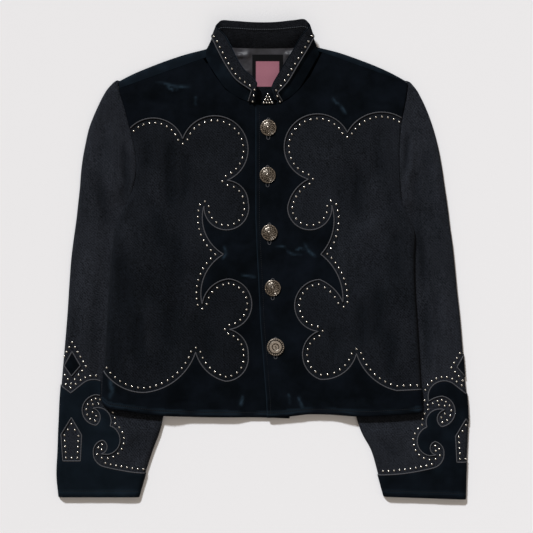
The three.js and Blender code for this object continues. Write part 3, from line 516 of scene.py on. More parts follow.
rightFront = {
    "sign": -1,
    "velvetArea": 0.066,
    # painted shade of the twill, at the chest and at the hem
    "nap": (0.68, 0.86),
    "rows": [
        (-247, -217.8, 42, -244, 10.6, 1), (-246.5, -196, 42, -214.7, 10.6, 1),
        (-244.1, -155.8, 41, -160.4, 10.6, 1), (-240.2, -90.7, 39.5, -93.8, 10.6, 1),
        (-236.4, -28.7, 38, -31.8, 10.6, 1), (-231.7, 24, 36.4, 24, 10.6, 1), (-224, 58.1, 35, 73.6, 10.6, 1),
        (-211.6, 86, 33.3, 110, 9.3, 0), (-200.7, 110.8, 33, 140, 6.6, 0), (-195.3, 138.7, 32.6, 168, 6.6, 0),
        (-196.1, 163.5, 31.8, 192, 6.6, 0), (-200, 185.2, 31.8, 232, 6.6, 0),
        (-205.4, 206.9, -10.5, 243.5, 6.6, 0), (-210, 225.5, -33.8, 250.3, 6.6, 0),
        (-214.7, 242.6, -57.4, 265.5, 6.6, 0), (-219.3, 256.5, -74, 288, 6.6, 0),
        (-221.8, 266.8, -91.6, 313.3, 6.6, 0),
    ],
    "liftEnds": [142, 136, 126, 111, 108, 128, 165, 190],
    "hem": [(-247, -219.5), (-237.2, -226.6), (-215, -230.6), (-193.6, -233.6), (-166.6, -237.2), (-100, -240.4),
            (-3.9, -241.2), (42, -242.8)],
    "scallop": [
        (-203.8, 206.2, 0), (-123, 189, -0.56), (-55, 125, -1.58), (-22, 91, -0.4), (-90, 86, -1.17),
        (-60, 11, 0.35), (-93, -66, 0.33), (-52, -27, -0.35), (-51, -105, -0.9), (-22, -145, -0.36),
        (-57, -185, -0.45), (-103, -140, -0.28), (-182, -202, -0.3), (-246, -167.5, -0.26)],
}
leftFront = {
    "sign": 1,
    "velvetArea": 0.066,
    # painted shade of the twill, at the chest and at the hem
    "nap": (0.5, 0.74),
    "rows": [
        (246.7, -233, 7, -241.5, 10.6, 1), (245.7, -205, 5.8, -213, 10.6, 1), (243.3, -158, 1.5, -160, 10.6, 1),
        (239.5, -96, -3.6, -94, 10.6, 1), (235.8, -40, -6.3, -32, 10.6, 1), (235, 8, -9.2, 24, 10.6, 1),
        (235.5, 45, -10.9, 68, 10.6, 1), (223.2, 75.2, -10.9, 105, 9.3, 0), (215.3, 95.3, -10.9, 130, 6.6, 0),
        (213.2, 118, -10.9, 155, 6.6, 0), (211.8, 145, -10.9, 182, 6.6, 0), (211.6, 170, -10.9, 206, 6.6, 0),
        (213, 197, -10.9, 239.5, 6.6, 0), (215.5, 220, 24, 242.3, 6.6, 0), (219.5, 242, 41, 251, 6.6, 0),
        (222, 256, 58, 266.5, 6.6, 0), (223.2, 266, 74, 287, 6.6, 0), (224, 275.6, 92, 322.5, 6.6, 0),
    ],
    "liftEnds": [134, 130, 120, 108, 107, 126, 165, 205],
    "hem": [(246.7, -233.4), (237.2, -234.4), (190, -237.8), (152.7, -239.3), (103.1, -236.6), (70, -236.2),
            (48.8, -238.6), (25, -241), (7, -241.7)],
    "scallop": [
        (214.7, 221.7, 0), (131, 199, 0.43), (71, 127, 1.54), (39, 84, 0.24), (107, 87, 1.08), (90, 11, -0.27),
        (124, -63, -0.25), (88, -28, 0.2), (86, -108, 0.93), (62, -145, 0.32), (89, -182, 0.31),
        (145, -142, 0.36), (207, -199, 0.27), (249, -197, 0.01)],
}
# Creases of the twill and of the velvet over it, as ((x, y) points, half width, depth)
bodyCreases = [
    ([(-141, 196), (-142, 140), (-140, 74)], 7, -3.0), ([(-121, 176), (-118, 128), (-124, 84)], 7, -1.5),
    ([(-163, 150), (-166, 110), (-160, 60)], 9, 1.1), ([(-130, 60), (-134, 10), (-128, -40)], 10, -1.5),
    ([(-190, -74), (-191, -120), (-189, -162)], 7, -2.6), ([(-172, -50), (-174, -110), (-166, -156)], 9, 1.2),
    ([(-138, -60), (-141, -100), (-134, -140)], 9, -1.6), ([(-112, -10), (-108, -60), (-113, -96)], 8, 1.0),
    ([(-222, 20), (-214, -30), (-210, -90)], 9, -1.6), ([(-178, 112), (-160, 60), (-152, 4)], 10, -1.4),
    ([(-216, 60), (-204, 30), (-186, 4)], 8, 1.2), ([(-84, -96), (-82, -130), (-84, -160)], 7, -0.9),
    ([(108, 256), (120, 240), (133, 222)], 7, 1.6), ([(150, 156), (147, 110), (143, 58)], 9, -1.9),
    ([(176, 140), (170, 80), (173, 20)], 10, 1.2), ([(124, 140), (122, 100), (128, 64)], 8, -1.2),
    ([(214, 60), (205, 20), (207, -40)], 9, -1.5), ([(150, -50), (155, -100), (148, -146)], 9, -1.5),
    ([(120, 40), (126, 0), (122, -40)], 9, 1.0), ([(176, -30), (180, -80), (175, -130)], 8, -1.2),
    ([(192, -96), (198, -140), (193, -186)], 8, -1.5), ([(-230, -110), (-226, -150), (-229, -194)], 7, -1.3),
    ([(60, 170), (96, 160), (130, 166)], 12, 0.7), ([(-60, 160), (-90, 150), (-116, 154)], 11, 0.7),
    ([(108, -90), (112, -124), (106, -158)], 8, -1.0), ([(186, 208), (180, 170), (184, 120)], 8, -1.2),
    ([(-182, 196), (-178, 168), (-182, 136)], 7, -1.2), ([(216, -60), (220, -120), (216, -170)], 8, 1.1),
]
velvetCreases = [
    ([(-167, 277), (-150, 274), (-134, 270), (-109, 269.5)], 2.2, 1.1), ([(-150, 271), (-138, 265), (-128, 266)], 1.8, 0.7),
    ([(-104, 256), (-102.5, 248), (-104, 239)], 2.6, 0.9), ([(-190, 250), (-160, 246), (-130, 238)], 6, -1.2),
    ([(107, 255), (112, 246), (122, 238), (131, 223)], 2.4, 1.2), ([(17.8, 22.5), (34, 22), (43, 12.5), (64, 10.7)], 1.8, 1.0),
    ([(50, 16), (58, 20), (66, 18)], 1.6, 0.7), ([(-35, -20.5), (-20, -23), (-8.5, -24)], 1.8, 0.8),
    ([(55, -207), (58, -216), (63, -228)], 2.4, 0.9), ([(40, -203), (42, -222)], 2.2, 0.6),
    ([(-45, 30), (-30, 26), (-14, 30)], 3.5, -1.0), ([(150, 285), (170, 272), (196, 266)], 5, -1.0),
    ([(-70, 225), (-60, 206), (-52, 196)], 5, -1.0), ([(30, 190), (36, 160), (32, 130)], 4, -0.7),
    ([(-30, -205), (-34, -225)], 2.6, 0.7), ([(20, -175), (24, -200), (22, -226)], 3.4, -0.8),
    ([(-150, -222), (-120, -216), (-90, -222)], 3.4, -0.7), ([(110, -216), (150, -210), (190, -218)], 3.6, -0.7),
    ([(64, 30), (70, 18), (84, 6)], 2.4, 0.7), ([(-60, 26), (-56, 12), (-64, 2)], 2.4, 0.6),
    ([(-236, -176), (-232, -196), (-236, -214)], 4, 1.0), ([(-90, 250), (-84, 232), (-88, 214)], 4, -0.9),
    ([(170, 246), (184, 240), (204, 244)], 4, -0.9), ([(22, 196), (30, 188), (44, 190)], 3, -0.6),
]

def fineRows(table, straightFrom=None):
    # the table's rows with smooth ones in between; the front edge stays straight between its rows
    table = np.array(table, dtype=float)
    steps = 20
    wanted = np.arange((len(table) - 1) * steps + 1) / steps
    known = np.arange(len(table))
    fine = np.stack([np.interp(wanted, known, table[:, k]) for k in range(table.shape[1])], axis=1)
    fine[:, 0:2] = curveThrough(table[:, 0:2], steps)
    return fine


def acrossRows(fine, x, y):
    # which row passes through each point, and how far the point is along it
    found, place = [], []
    order = np.sign(fine[-1, 1] - fine[0, 1])
    for px, py in zip(np.array_split(x, len(x) // 4000 + 1), np.array_split(y, len(y) // 4000 + 1)):
        run = fine[:, 2:4] - fine[:, 0:2]
        beyond = (run[:, 0] * (py[:, None] - fine[:, 1]) - run[:, 1] * (px[:, None] - fine[:, 0]))
        beyond *= np.sign(run[:, 0]) * order / np.linalg.norm(run, axis=1)
        row = np.clip((beyond > 0).sum(1) - 1, 0, len(fine) - 2)
        k = np.arange(len(px))
        here, there = beyond[k, row], beyond[k, row + 1]
        weight = np.clip(here / np.where(abs(here - there) < 1e-9, 1e-9, here - there), 0, 1)
        values = mix(fine[row], fine[row + 1], weight[:, None])
        span = values[:, 2:4] - values[:, 0:2]
        length = np.linalg.norm(span, axis=1)
        along = ((px - values[:, 0]) * span[:, 0] + (py - values[:, 1]) * span[:, 1]) / length
        found.append(values)
        place.append(np.stack([along, length], axis=1))
    return np.vstack(found), np.vstack(place)


def roll(distance, reach, depth):
    t = np.clip(1 - distance / reach, 0, 1)
    return depth * (1 - np.sqrt(1 - t * t))


def prepareFront(front):
    rows = [list(row) for row in front["rows"]]
    ends = front["liftEnds"]
    for k, row in enumerate(rows):
        row.append(ends[min(k, len(ends) - 1)])
    front["fine"] = fineRows(rows)


def frontOutline(front, proud):
    fine, sign = front["fine"], front["sign"]
    side = fine[:, 0:2].copy()
    side[:, 0] += sign * proud * fine[:, 5]
    hem = curveThrough(front["hem"], 8)
    hem[0] = side[0]
    side = side[side[:, 1] > hem[0, 1] - 0.01]
    edge = fine[::-1, 2:4]
    edge = edge[edge[:, 1] > hem[-1, 1] + 1]
    return np.vstack([side, edge, hem[::-1][:-1]])


def frontHeight(front, x, y, proud):
    values, places = acrossRows(front["fine"], x, y)
    side, rolled, liftEnd = values[:, 4], values[:, 5], values[:, 6]
    outward = smooth(liftEnd - 32, liftEnd + 9.6, np.abs(x))
    if front["sign"] > 0:
        flat = mix(cloth["overLap"], cloth["chest"] + 0.1, smooth(52, 80, x))
    else:
        flat = mix(cloth["chest"], cloth["underLap"], smooth(-52, -16, x))
    level = mix(flat, side, outward) + cloth["wall"] / 2 + proud
    inward = places[:, 0] + proud * rolled
    bottom = level - cloth["rollEnd"] - 0.2
    height = level - roll(inward, cloth["rollReach"] + proud, bottom) * rolled
    height -= roll(inward, 6, cloth["armholeDip"]) * (1 - rolled)
    free = smooth(2, 16, inward)
    height += strokeHeight(x, y, bodyCreases) * free
    height += 0.32 * softNoise(x, y, 34, 3) * free + 0.16 * softNoise(x, y, 13, 4) * free
    return height


for front in (rightFront, leftFront):
    prepareFront(front)


def edgeFall(points, line, reach, depth):
    return roll(distanceTo(points, line)[0], reach, depth)


def innerLines(line, distances):
    return [shifted(line, distance) for distance in distances]


def paintedShadeOf(flat, creases, base):
    # painted shade: the twill is painted darker in the troughs and lighter on the swells
    x, y = flat[:, 0], flat[:, 1]
    wide = [(line, width * 1.25, depth) for line, width, depth in creases]
    nap = base - 0.2 * strokeHeight(x, y, wide)
    return np.clip(nap + 0.07 * softNoise(x, y, 26, 91), 0, 1)


def makeFront(name, front):
    outline = frontOutline(front, 0)
    sideLine = front["fine"][:, 0:2]
    turn = front["sign"]
    extra = [sideLine + np.array([-turn * d, 0]) for d in (0.5, 1.5, 3, 5)]
    hemLine = curveThrough(front["hem"], 8)

    def heightOf(x, y):
        points = np.stack([x, y], axis=1)
        return frontHeight(front, x, y, 0) - edgeFall(points, hemLine, 3, 0.9)

    made, flat = cutSheet(name, [outline], [], 3.6, extra, heightOf)
    # painted shade on the front twill: darker towards the hem and in the troughs, lighter on the swells
    lower = smooth(60, -60, flat[:, 1])
    paint(made, "nap", paintedShadeOf(flat, bodyCreases, mix(front["nap"][0], front["nap"][1], lower)))
    thicken(made, cloth["wall"])
    return finish(made, twill, [name])


def velvetStitch(front):
    # topstitching above the hem and beside the centre-front edge
    hem = curveThrough(front["hem"], 8)
    return hem + np.array([0, 7.8])


def makeFrontVelvet(name, front):
    proud = cloth["proud"]
    outline = frontOutline(front, proud)
    scallop = arcLine(front["scallop"], 1.6)
    turn = front["sign"]
    field = np.vstack([scallop, [(turn * 330, scallop[-1][1]), (turn * 330, scallop[0][1])]])
    hemLine = curveThrough(front["hem"], 8)
    stitch = velvetStitch(front)
    sideLine = front["fine"][:, 0:2] + np.array([turn * proud, 0]) * front["fine"][:, 5:6]
    extra = [sideLine + np.array([-turn * d, 0]) for d in (0.5, 1.5, 3, 5)]
    extra += [stitch + np.array([0, d]) for d in (-1.8, 0, 1.8)] + [hemLine + np.array([0, d]) for d in (0.7, 2)]
    extra += [shifted(scallop, 1.3 * turn), shifted(scallop, 2.8 * turn)]
    frontLine = front["fine"][:240, 2:4]
    extra += [frontLine + np.array([turn * d, 0]) for d in (0.7, 2)] if turn > 0 else []

    def heightOf(x, y):
        points = np.stack([x, y], axis=1)
        height = frontHeight(front, x, y, proud)
        height -= edgeFall(points, hemLine, 3.2, 1.2)
        height -= edgeFall(points, scallop, 2.8, 0.7)
        if turn > 0:
            height -= edgeFall(points, frontLine, 3, 1.0)
        height -= 0.55 * np.exp(-(distanceTo(points, stitch)[0] / 1.5) ** 2)
        height += strokeHeight(x, y, velvetCreases)
        return height + 0.22 * softNoise(x, y, 9, 7) + 0.2 * softNoise(x, y, 21, 8)

    made, flat = cutSheet(name, [outline], [field], 3.0, extra, heightOf)
    x, y = flat[:, 0], flat[:, 1]
    # crush marks where the ridges press the pile over, plus painted sheen: a highlight band beside the hem stitching
    # and, on the left front, a highlight along the front edge
    marks = [(line, width * 0.8, 1.0) for line, width, depth in velvetCreases if depth > 0]
    crush = np.clip(strokeHeight(x, y, marks), 0, 1) * (0.5 + 0.5 * softNoise(x, y, 5, 12))
    beside = distanceTo(flat, stitch)[0]
    crush += 0.32 * np.exp(-((beside - 1.7) / 1.0) ** 2) * smooth(-0.5, 0.8, softNoise(x, y, 22, 14))
    if turn > 0:
        crush += 0.4 * np.exp(-(distanceTo(flat, frontLine)[0] / 1.1) ** 2) * (0.75 + 0.25 * softNoise(x, y, 30, 15))
    paint(made, "crush", np.clip(crush, 0, 1))
    thicken(made, cloth["applique"])
    return finish(made, velvet, [name])


makeFront("right_front", rightFront)
makeFront("left_front", leftFront)
makeFrontVelvet("right_front_velvet", rightFront)
makeFrontVelvet("left_front_velvet", leftFront)
print("fronts made")

# Sleeves. Rows run from the shoulder down: outer x, y, inner x, y, crown height, x beyond which the body presses
# on the sleeve, how much it presses, 1 where the inner edge is a fold that shows.

rightSleeve = {
    "sign": -1,
    "rows": [
        (-225.2, 280.6, -220.5, 279.2, 3.6, -232, 0, 0), (-229.5, 278.2, -222, 275.8, 4.0, -232, 0, 0),
        (-233.3, 274.6, -223.2, 271.4, 4.4, -232, 0, 0), (-241, 265.8, -222.2, 266.8, 5.2, -232, 0, 0),
        (-247.5, 255, -219.7, 256.5, 5.9, -232, 0, 0), (-254.5, 241, -215.1, 242.6, 6.3, -232, 0, 0),
        (-262, 224, -210.4, 225.5, 6.4, -232, 0, 0), (-269, 205, -205.8, 206.9, 6.4, -232, 0, 0),
        (-274, 183, -200.4, 185.2, 6.4, -232, 0, 0), (-278, 162, -196.5, 163.5, 6.4, -232, 0, 0),
        (-281, 139, -195.7, 138.7, 6.4, -232, 0, 0), (-283, 113, -201.1, 110.8, 6.4, -232, 0, 0),
        (-285.5, 90, -206.5, 87, 6.4, -232, 1, 0), (-288.3, 64.3, -180.6, 61, 6.4, -236, 1, 0),
        (-292.2, 36.4, -149.6, 33, 6.4, -239, 1, 0), (-296.1, 5.4, -126, 2, 6.4, -240, 1, 0),
        (-299.2, -36.4, -115.5, -36.4, 6.4, -241, 1, 0), (-302.2, -83, -118.6, -83, 6.4, -244, 1, 0),
        (-306, -129, -128, -129, 6.4, -247, 1, 0), (-310, -176, -139.5, -176, 6.4, -250, 1, 0),
        (-313, -213, -148, -214, 6.4, -251, 1, 0), (-314.3, -243, -154, -243, 6.4, -251, 1, 0),
        (-315.2, -262, -158.5, -262, 6.4, -251, 0, 1), (-316.2, -292, -169.7, -292, 6.4, -251, 0, 1),
        (-317.8, -331, -182, -330, 6.2, -251, 0, 1), (-314.7, -364.4, -191.8, -364.4, 6, -251, 0, 1),
    ],
}
leftSleeve = {
    "sign": 1,
    "rows": [
        (224.6, 279.4, 221.5, 279.6, 3.6, 244, 0, 0), (228.4, 277.6, 223.4, 277.6, 4.0, 244, 0, 0),
        (231.8, 274.2, 224.0, 274.4, 4.4, 244, 0, 0), (239.5, 264.5, 223.6, 266, 5.2, 244, 0, 0),
        (245, 254.5, 222.4, 256, 5.9, 244, 0, 0), (252, 240, 219.9, 242, 6.3, 244, 0, 0),
        (260.5, 218.5, 215.9, 220, 6.4, 244, 0, 0), (267.5, 195.5, 213.4, 197, 6.4, 244, 0, 0),
        (273.6, 170, 212, 170, 6.4, 244, 0, 0), (278.2, 143.4, 212.2, 145, 6.4, 244, 0, 0),
        (282, 117, 213.6, 118, 6.4, 244, 0, 0), (285.3, 95, 215.7, 95.3, 6.4, 244, 0, 0),
        (287.8, 76, 218, 76.5, 6.4, 244, 1, 0), (290.5, 53, 188.3, 52, 6.4, 245, 1, 0),
        (294.3, 27, 154.2, 25.6, 6.4, 244, 1, 0), (297.5, -3, 129.4, -5.4, 6.4, 242, 1, 0),
        (301.2, -43, 115.5, -44.2, 6.4, 241, 1, 0), (306, -87.6, 115.5, -87.6, 6.4, 244, 1, 0),
        (309.7, -132.5, 121.7, -132.5, 6.4, 247, 1, 0), (313, -177.5, 131, -177.5, 6.4, 249.5, 1, 0),
        (317, -218, 140.3, -219.3, 6.4, 251.5, 1, 0), (318.2, -247, 147, -247, 6.4, 251.5, 1, 0),
        (317.5, -266, 154, -266, 6.4, 251.5, 0, 1), (316.2, -292.2, 168.2, -292.2, 6.4, 251.5, 0, 1),
        (314.8, -331, 179, -329.4, 6.2, 251.5, 0, 1), (313.9, -368, 188.3, -363.5, 6, 251.5, 0, 1),
    ],
}
sleeveCreases = [
    ([(-218, 194), (-212, 160), (-210, 120), (-215, 84)], 5.5, -3.2), ([(-254, 134), (-247, 92), (-236, 40)], 6.5, -2.6),
    ([(-234, 160), (-229, 110), (-226, 72)], 7, 1.5), ([(-262, 190), (-266, 130), (-262, 70)], 8, 1.2),
    ([(-242, 226), (-246, 190), (-250, 150)], 8, -1.2), ([(-268, 20), (-276, -50), (-280, -120)], 9, 1.2),
    ([(-254, -30), (-258, -90), (-262, -150)], 7, -1.5), ([(-290, 60), (-294, 10), (-298, -50)], 7, -1.0),
    ([(-284, -60), (-290, -110), (-292, -160)], 8, -1.2), ([(-180, -266), (-200, -284), (-216, -302)], 7, -1.4),
    ([(-170, -300), (-196, -318), (-214, -340)], 8, 1.0), ([(-300, -206), (-304, -250), (-300, -290)], 8, -0.8),
    ([(-196, -345), (-230, -350), (-262, -346)], 8, -0.9), ([(-226, -262), (-232, -290), (-228, -312)], 7, -0.9),
    ([(231, 204), (233, 174), (227, 134), (223, 115), (224, 89), (238, 58)], 5, 2.2),
    ([(225, 204), (224, 168), (219, 128)], 4.5, -3.0), ([(233, 88), (241, 50), (248, -10), (252, -60)], 7, -3.4),
    ([(251, -50), (254, -110), (257, -170)], 7, -3.0), ([(243, 150), (238, 110), (240, 70)], 6, -1.8),
    ([(262, 100), (266, 60), (270, 14)], 7, -1.2), ([(252, 186), (258, 130), (258, 90)], 8, -1.4),
    ([(268, 156), (274, 100), (277, 50)], 8, 1.2), ([(274, -10), (282, -70), (286, -130)], 9, 1.4),
    ([(266, -26), (271, -90), (274, -150)], 7, -1.6), ([(294, 0), (300, -60), (302, -120)], 7, -1.0),
    ([(176, -268), (196, -290), (212, -312)], 7, -1.4), ([(190, -342), (220, -333), (252, -340)], 8, 0.9),
    ([(236, 242), (246, 216), (252, 190)], 8, 1.2), ([(300, -180), (304, -220), (300, -262)], 7, -0.9),
    ([(228, -270), (232, -296), (226, -316)], 7, 0.8),
]
cuff = {
    "edge": [
        (-330, -177.5, 0), (-296, -203, 0), (-277, -188, 0), (-238, -214, -0.75), (-258, -206, 0.15),
        (-257, -253, 0.88), (-262, -227, 0.66), (-235, -254, -0.63), (-239, -298, -0.78), (-249, -297, 0),
        (-247, -276, 0.78), (-261, -295, 0.38), (-244, -317, 0.36), (-150, -327.6, 0.07)],
    "pentagon": [(-295, -241), (-279, -268), (-281, -308), (-308, -308), (-311, -267)],
    "diamond": [(-294, -139), (-281, -161), (-295, -177), (-306, -161)],
    "mirrorX": 9.6,
    "mirrorDrop": -2,
    "underBody": [(249.8, -100), (250.4, -221), (225, -234), (100, -243), (100, -100)],
}


def mirrored(line, isLeft):
    line = [tuple(row) for row in line]
    if not isLeft:
        return line
    return [(2 * cuff["mirrorX"] - row[0], row[1] + cuff["mirrorDrop"]) + tuple(-b for b in row[2:]) for row in line]


for sleeve in (rightSleeve, leftSleeve):
    sleeve["fine"] = fineRows(sleeve["rows"])
    innerCurve = curveThrough([row[2:4] for row in sleeve["rows"]], 20)
    sleeve["fine"][:, 2:4] = innerCurve


def sleeveHeight(sleeve, x, y, proud):
    values, places = acrossRows(sleeve["fine"], x, y)
    crown, pressX, pressed, opened = values[:, 4], values[:, 5], values[:, 6], values[:, 7]
    top = crown + cloth["wall"] / 2 + proud
    inward = places[:, 0] + proud
    height = top - roll(inward, cloth["rollReach"] + proud, top - 1.1)
    inner = places[:, 1] - places[:, 0] + proud * opened
    height -= opened * roll(inner, cloth["rollReach"] + proud, top - 1.1)
    height -= (1 - opened) * (1 - pressed) * roll(inner, 6, cloth["armholeDip"])
    free = smooth(0, -22, np.abs(pressX) - np.abs(x))
    low = mix(cloth["pressed"], crown, free) + cloth["wall"] / 2 + proud
    height = mix(height, np.minimum(height, low), pressed)
    calm = smooth(2, 14, inward) * smooth(2, 14, inner) * np.maximum(1 - pressed, free)
    folds = strokeHeight(x, y, sleeveCreases) + 0.3 * softNoise(x, y, 30, 21) + 0.14 * softNoise(x, y, 12, 22)
    return height + folds * calm


def sleeveOutline(sleeve, proud):
    fine, sign = sleeve["fine"], sleeve["sign"]
    outer = fine[:, 0:2].copy()
    outer[:, 0] += sign * proud
    inner = fine[::-1, 2:4].copy()
    inner[:, 0] -= sign * proud * fine[::-1, 7]
    return np.vstack([outer, inner])


def makeSleeve(name, sleeve):
    outline = sleeveOutline(sleeve, 0)
    sign = sleeve["sign"]
    outer, inner = sleeve["fine"][:, 0:2], sleeve["fine"][:, 2:4]
    extra = [outer + np.array([-sign * d, 0]) for d in (0.5, 1.5, 3, 5)]
    extra += [inner + np.array([sign * d, 0]) for d in (0.5, 1.5, 3, 5)]
    hemLine = np.array([outer[-1], inner[-1]])

    def heightOf(x, y):
        points = np.stack([x, y], axis=1)
        return sleeveHeight(sleeve, x, y, 0) - edgeFall(points, hemLine, 3, 0.8)

    made, flat = cutSheet(name + "_top", [outline], [], 3.4, extra, heightOf)
    # painted shade on the sleeve twill: darker towards the cuff and in the troughs, deepest beside the body's side edge
    # where its shadow falls
    low = smooth(-100, -260, flat[:, 1])
    paint(made, "nap", paintedShadeOf(flat, sleeveCreases, 0.06 + 0.12 * low))
    thicken(made, cloth["wall"])
    finish(made, twill, [name + "_top"])

    underLoop = underOutline(sleeve)

    def underHeight(x, y):
        return 1.8 + 0 * x

    under, flat = cutSheet(name + "_under", [underLoop], [], 6, [], underHeight)
    thicken(under, cloth["wall"])
    finish(under, twill, [name + "_under"])


def underOutline(sleeve):
    fine = sleeve["fine"]
    middle = (fine[:, 0:2] + fine[:, 2:4]) / 2
    half = fine[:, 0:2] - middle
    length = np.linalg.norm(half, axis=1)
    unit = half / length[:, None]
    reach = np.minimum(2.9, length * 0.85)
    outer = fine[:, 0:2] - unit * reach[:, None]
    free = np.maximum(fine[:, 6], fine[:, 7])
    inner = fine[:, 2:4] + unit * (2.9 * free)[:, None]
    return np.vstack([outer, inner[::-1]])


def makeCuff(name, sleeve, isLeft):
    proud = cloth["proud"]
    outline = sleeveOutline(sleeve, proud)
    edge = arcLine(mirrored(cuff["edge"], isLeft), 1.4)
    region = np.vstack([edge, [(edge[-1][0], -400), (edge[0][0], -400)]])
    window = np.array(mirrored(cuff["pentagon"], isLeft))
    body = np.array(cuff["underBody"]) * (sleeve["sign"], 1)
    sign = sleeve["sign"]
    outer = sleeve["fine"][:, 0:2] + np.array([sign * proud, 0])
    inner = sleeve["fine"][:, 2:4] - np.array([sign * proud, 0]) * sleeve["fine"][:, 7:8]
    hemLine = np.array([outer[-1], inner[-1]])
    stitch = hemLine + np.array([0, 9.5])
    extra = [outer[-180:] + np.array([-sign * d, 0]) for d in (0.5, 1.5, 3, 5)]
    extra += [inner[-80:] + np.array([sign * d, 0]) for d in (0.5, 1.5, 3, 5)]
    extra += [stitch + np.array([0, d]) for d in (-1.8, 0, 1.8)]

    def heightOf(x, y):
        points = np.stack([x, y], axis=1)
        height = sleeveHeight(sleeve, x, y, proud) - edgeFall(points, hemLine, 3, 1.0)
        height -= edgeFall(points, edge, 2.2, 0.5) + edgeFall(points, np.vstack([window, window[:1]]), 2.2, 0.5)
        height -= 0.5 * np.exp(-(distanceTo(points, stitch)[0] / 1.5) ** 2)
        return height + 0.2 * softNoise(x, y, 9, 27) + 0.15 * softNoise(x, y, 20, 28)

    made, flat = cutSheet(name + "_velvet", [outline, region], [window, body], 2.6, extra, heightOf)
    # painted sheen: the right cuff is painted lighter all over than the left, with a highlight band beside the
    # stitching
    crush = (0.02 if isLeft else 0.10) + 0.06 * np.clip(softNoise(flat[:, 0], flat[:, 1], 18, 29), 0, 1)
    crush += 0.12 * np.exp(-((distanceTo(flat, stitch)[0] - 1.6) / 1.1) ** 2)
    paint(made, "crush", crush)
    thicken(made, cloth["applique"])
    finish(made, velvet, [name + "_velvet"])

    diamond = np.array(mirrored(cuff["diamond"], isLeft))

    def diamondHeight(x, y):
        points = np.stack([x, y], axis=1)
        return sleeveHeight(sleeve, x, y, proud) - edgeFall(points, np.vstack([diamond, diamond[:1]]), 2.2, 0.5)

    made, flat = cutSheet(name + "_diamond", [diamond, outline], [], 1.8, [], diamondHeight)
    paint(made, "crush", 0.05 * np.clip(softNoise(flat[:, 0], flat[:, 1], 8, 31), 0, 1))
    thicken(made, cloth["applique"])
    finish(made, velvet, [name + "_diamond"])


makeSleeve("right_sleeve", rightSleeve)
makeSleeve("left_sleeve", leftSleeve)
makeCuff("right_cuff", rightSleeve, False)
makeCuff("left_cuff", leftSleeve, True)
print("sleeves made")

# Back: a panel on the floor between the sleeves and up over them, and a yoke that turns over the shoulders.

back = {"inset": 2.9, "liftRamp": 16, "yokeSeamRow": 11, "hemBow": -5}
shoulders = {
    "right": [(-221.6, 279), (-200, 290), (-175, 300.5), (-150, 310), (-120, 320), (-93, 327), (-84, 329.5)],
    "left": [(222.4, 278.6), (200, 290.9), (175, 302.3), (150, 312), (120, 322.5), (93, 329.5), (84, 331.5)],
}


def makeBack():
    last = back["yokeSeamRow"] * 20
    right, left = rightFront["fine"][:last + 1:3], leftFront["fine"][:last + 1:3]
    grid = []
    for i in range(len(right)):
        lifted = smooth(7.9, 7.0, i * 3 / 20)
        inset = back["inset"] * lifted
        x = np.linspace(right[i, 0] + inset, left[i, 0] - inset, 110)
        t = np.linspace(0, 1, 110)
        bow = back["hemBow"] * 4 * t * (1 - t) * smooth(1.2, 0, i * 3 / 20)
        y = mix(right[i, 1], left[i, 1], t) + bow + (1.5 if i == 0 else 0)
        over = np.maximum(smooth(-right[i, 6] + back["liftRamp"], -right[i, 6], x),
                          smooth(left[i, 6] - back["liftRamp"], left[i, 6], x))
        z = cloth["wall"] + cloth["backLift"] * over * lifted
        grid.append(np.stack([x, y, z], axis=1))
    made = gridSheet("back_panel", np.array(grid))
    thicken(made, cloth["wall"])
    finish(made, twill, ["back_panel"])


def makeYoke():
    pieces = []
    seam = back["yokeSeamRow"]
    outline = [(-199.9, 185.5), (211.8, 197.3)]
    outline += [row[0:2] for row in leftFront["rows"][seam + 1:-1]]
    outline += [(x, y - 8) for x, y in shoulders["left"]] + [(84, 329), (-84, 329)]
    outline += [(x, y - 8) for x, y in shoulders["right"][::-1]]
    outline += [row[0:2] for row in rightFront["rows"][seam + 1:-1][::-1]]
    flat, points = cutSheet("back_yoke", [np.array(outline, dtype=float)], [], 7, [], lambda x, y: 1.8 + 0 * x)
    paint(flat, "crush", 0 * points[:, 0])
    thicken(flat, cloth["wall"])
    for side, front in (("right", rightFront), ("left", leftFront)):
        rows = curveThrough(shoulders[side], 8)
        ax, ay, bx, by = front["rows"][-1][0:4]
        grid = []
        for x, edge in rows:
            seamY = mix(ay, by, (x - ax) / (bx - ax)) + 0.5
            section = curveThrough([
                (seamY, 7.6), (mix(seamY, edge, 0.45), 7.55), (max(edge - 3, mix(seamY, edge, 0.6)), 6.6),
                (edge - 0.2, 4.2), (edge - 0.9, 1.6), (edge - 4.6, 0.1), (edge - 12, 0.05)], 4)
            grid.append(np.column_stack([np.full(len(section), x), section]))
        grid = np.array(grid)
        grid[:, :, 2] += 0.2 * softNoise(grid[:, :, 0].ravel(), grid[:, :, 1].ravel(), 14, 41).reshape(
            grid.shape[:2]) * (grid[:, :, 2] > 5)
        if side == "left":
            grid = grid[::-1]
        strip = gridSheet("shoulder_" + side, grid)
        flip = strip.data.polygons[0].normal.z < 0
        if flip:
            strip.data.flip_normals()
        # painted sheen where the velvet turns over the shoulder, with crush marks
        marks = softNoise(grid[:, :, 0].ravel(), grid[:, :, 1].ravel(), 10, 43)
        paint(strip, "crush", 0.1 + 0.12 * np.clip(marks, 0, 1))
        thicken(strip, cloth["wall"])
        pieces.append(strip)
    bpy.ops.object.select_all(action="DESELECT")
    for piece in pieces + [flat]:
        piece.select_set(True)
    bpy.context.view_layer.objects.active = flat
    bpy.ops.object.join()
    finish(flat, velvet, ["back_yoke"])


makeBack()
makeYoke()
print("back made")

# Collar stand: rows from the right end round the back of the neck; neck seam x, y, z, then free edge x, y, z.

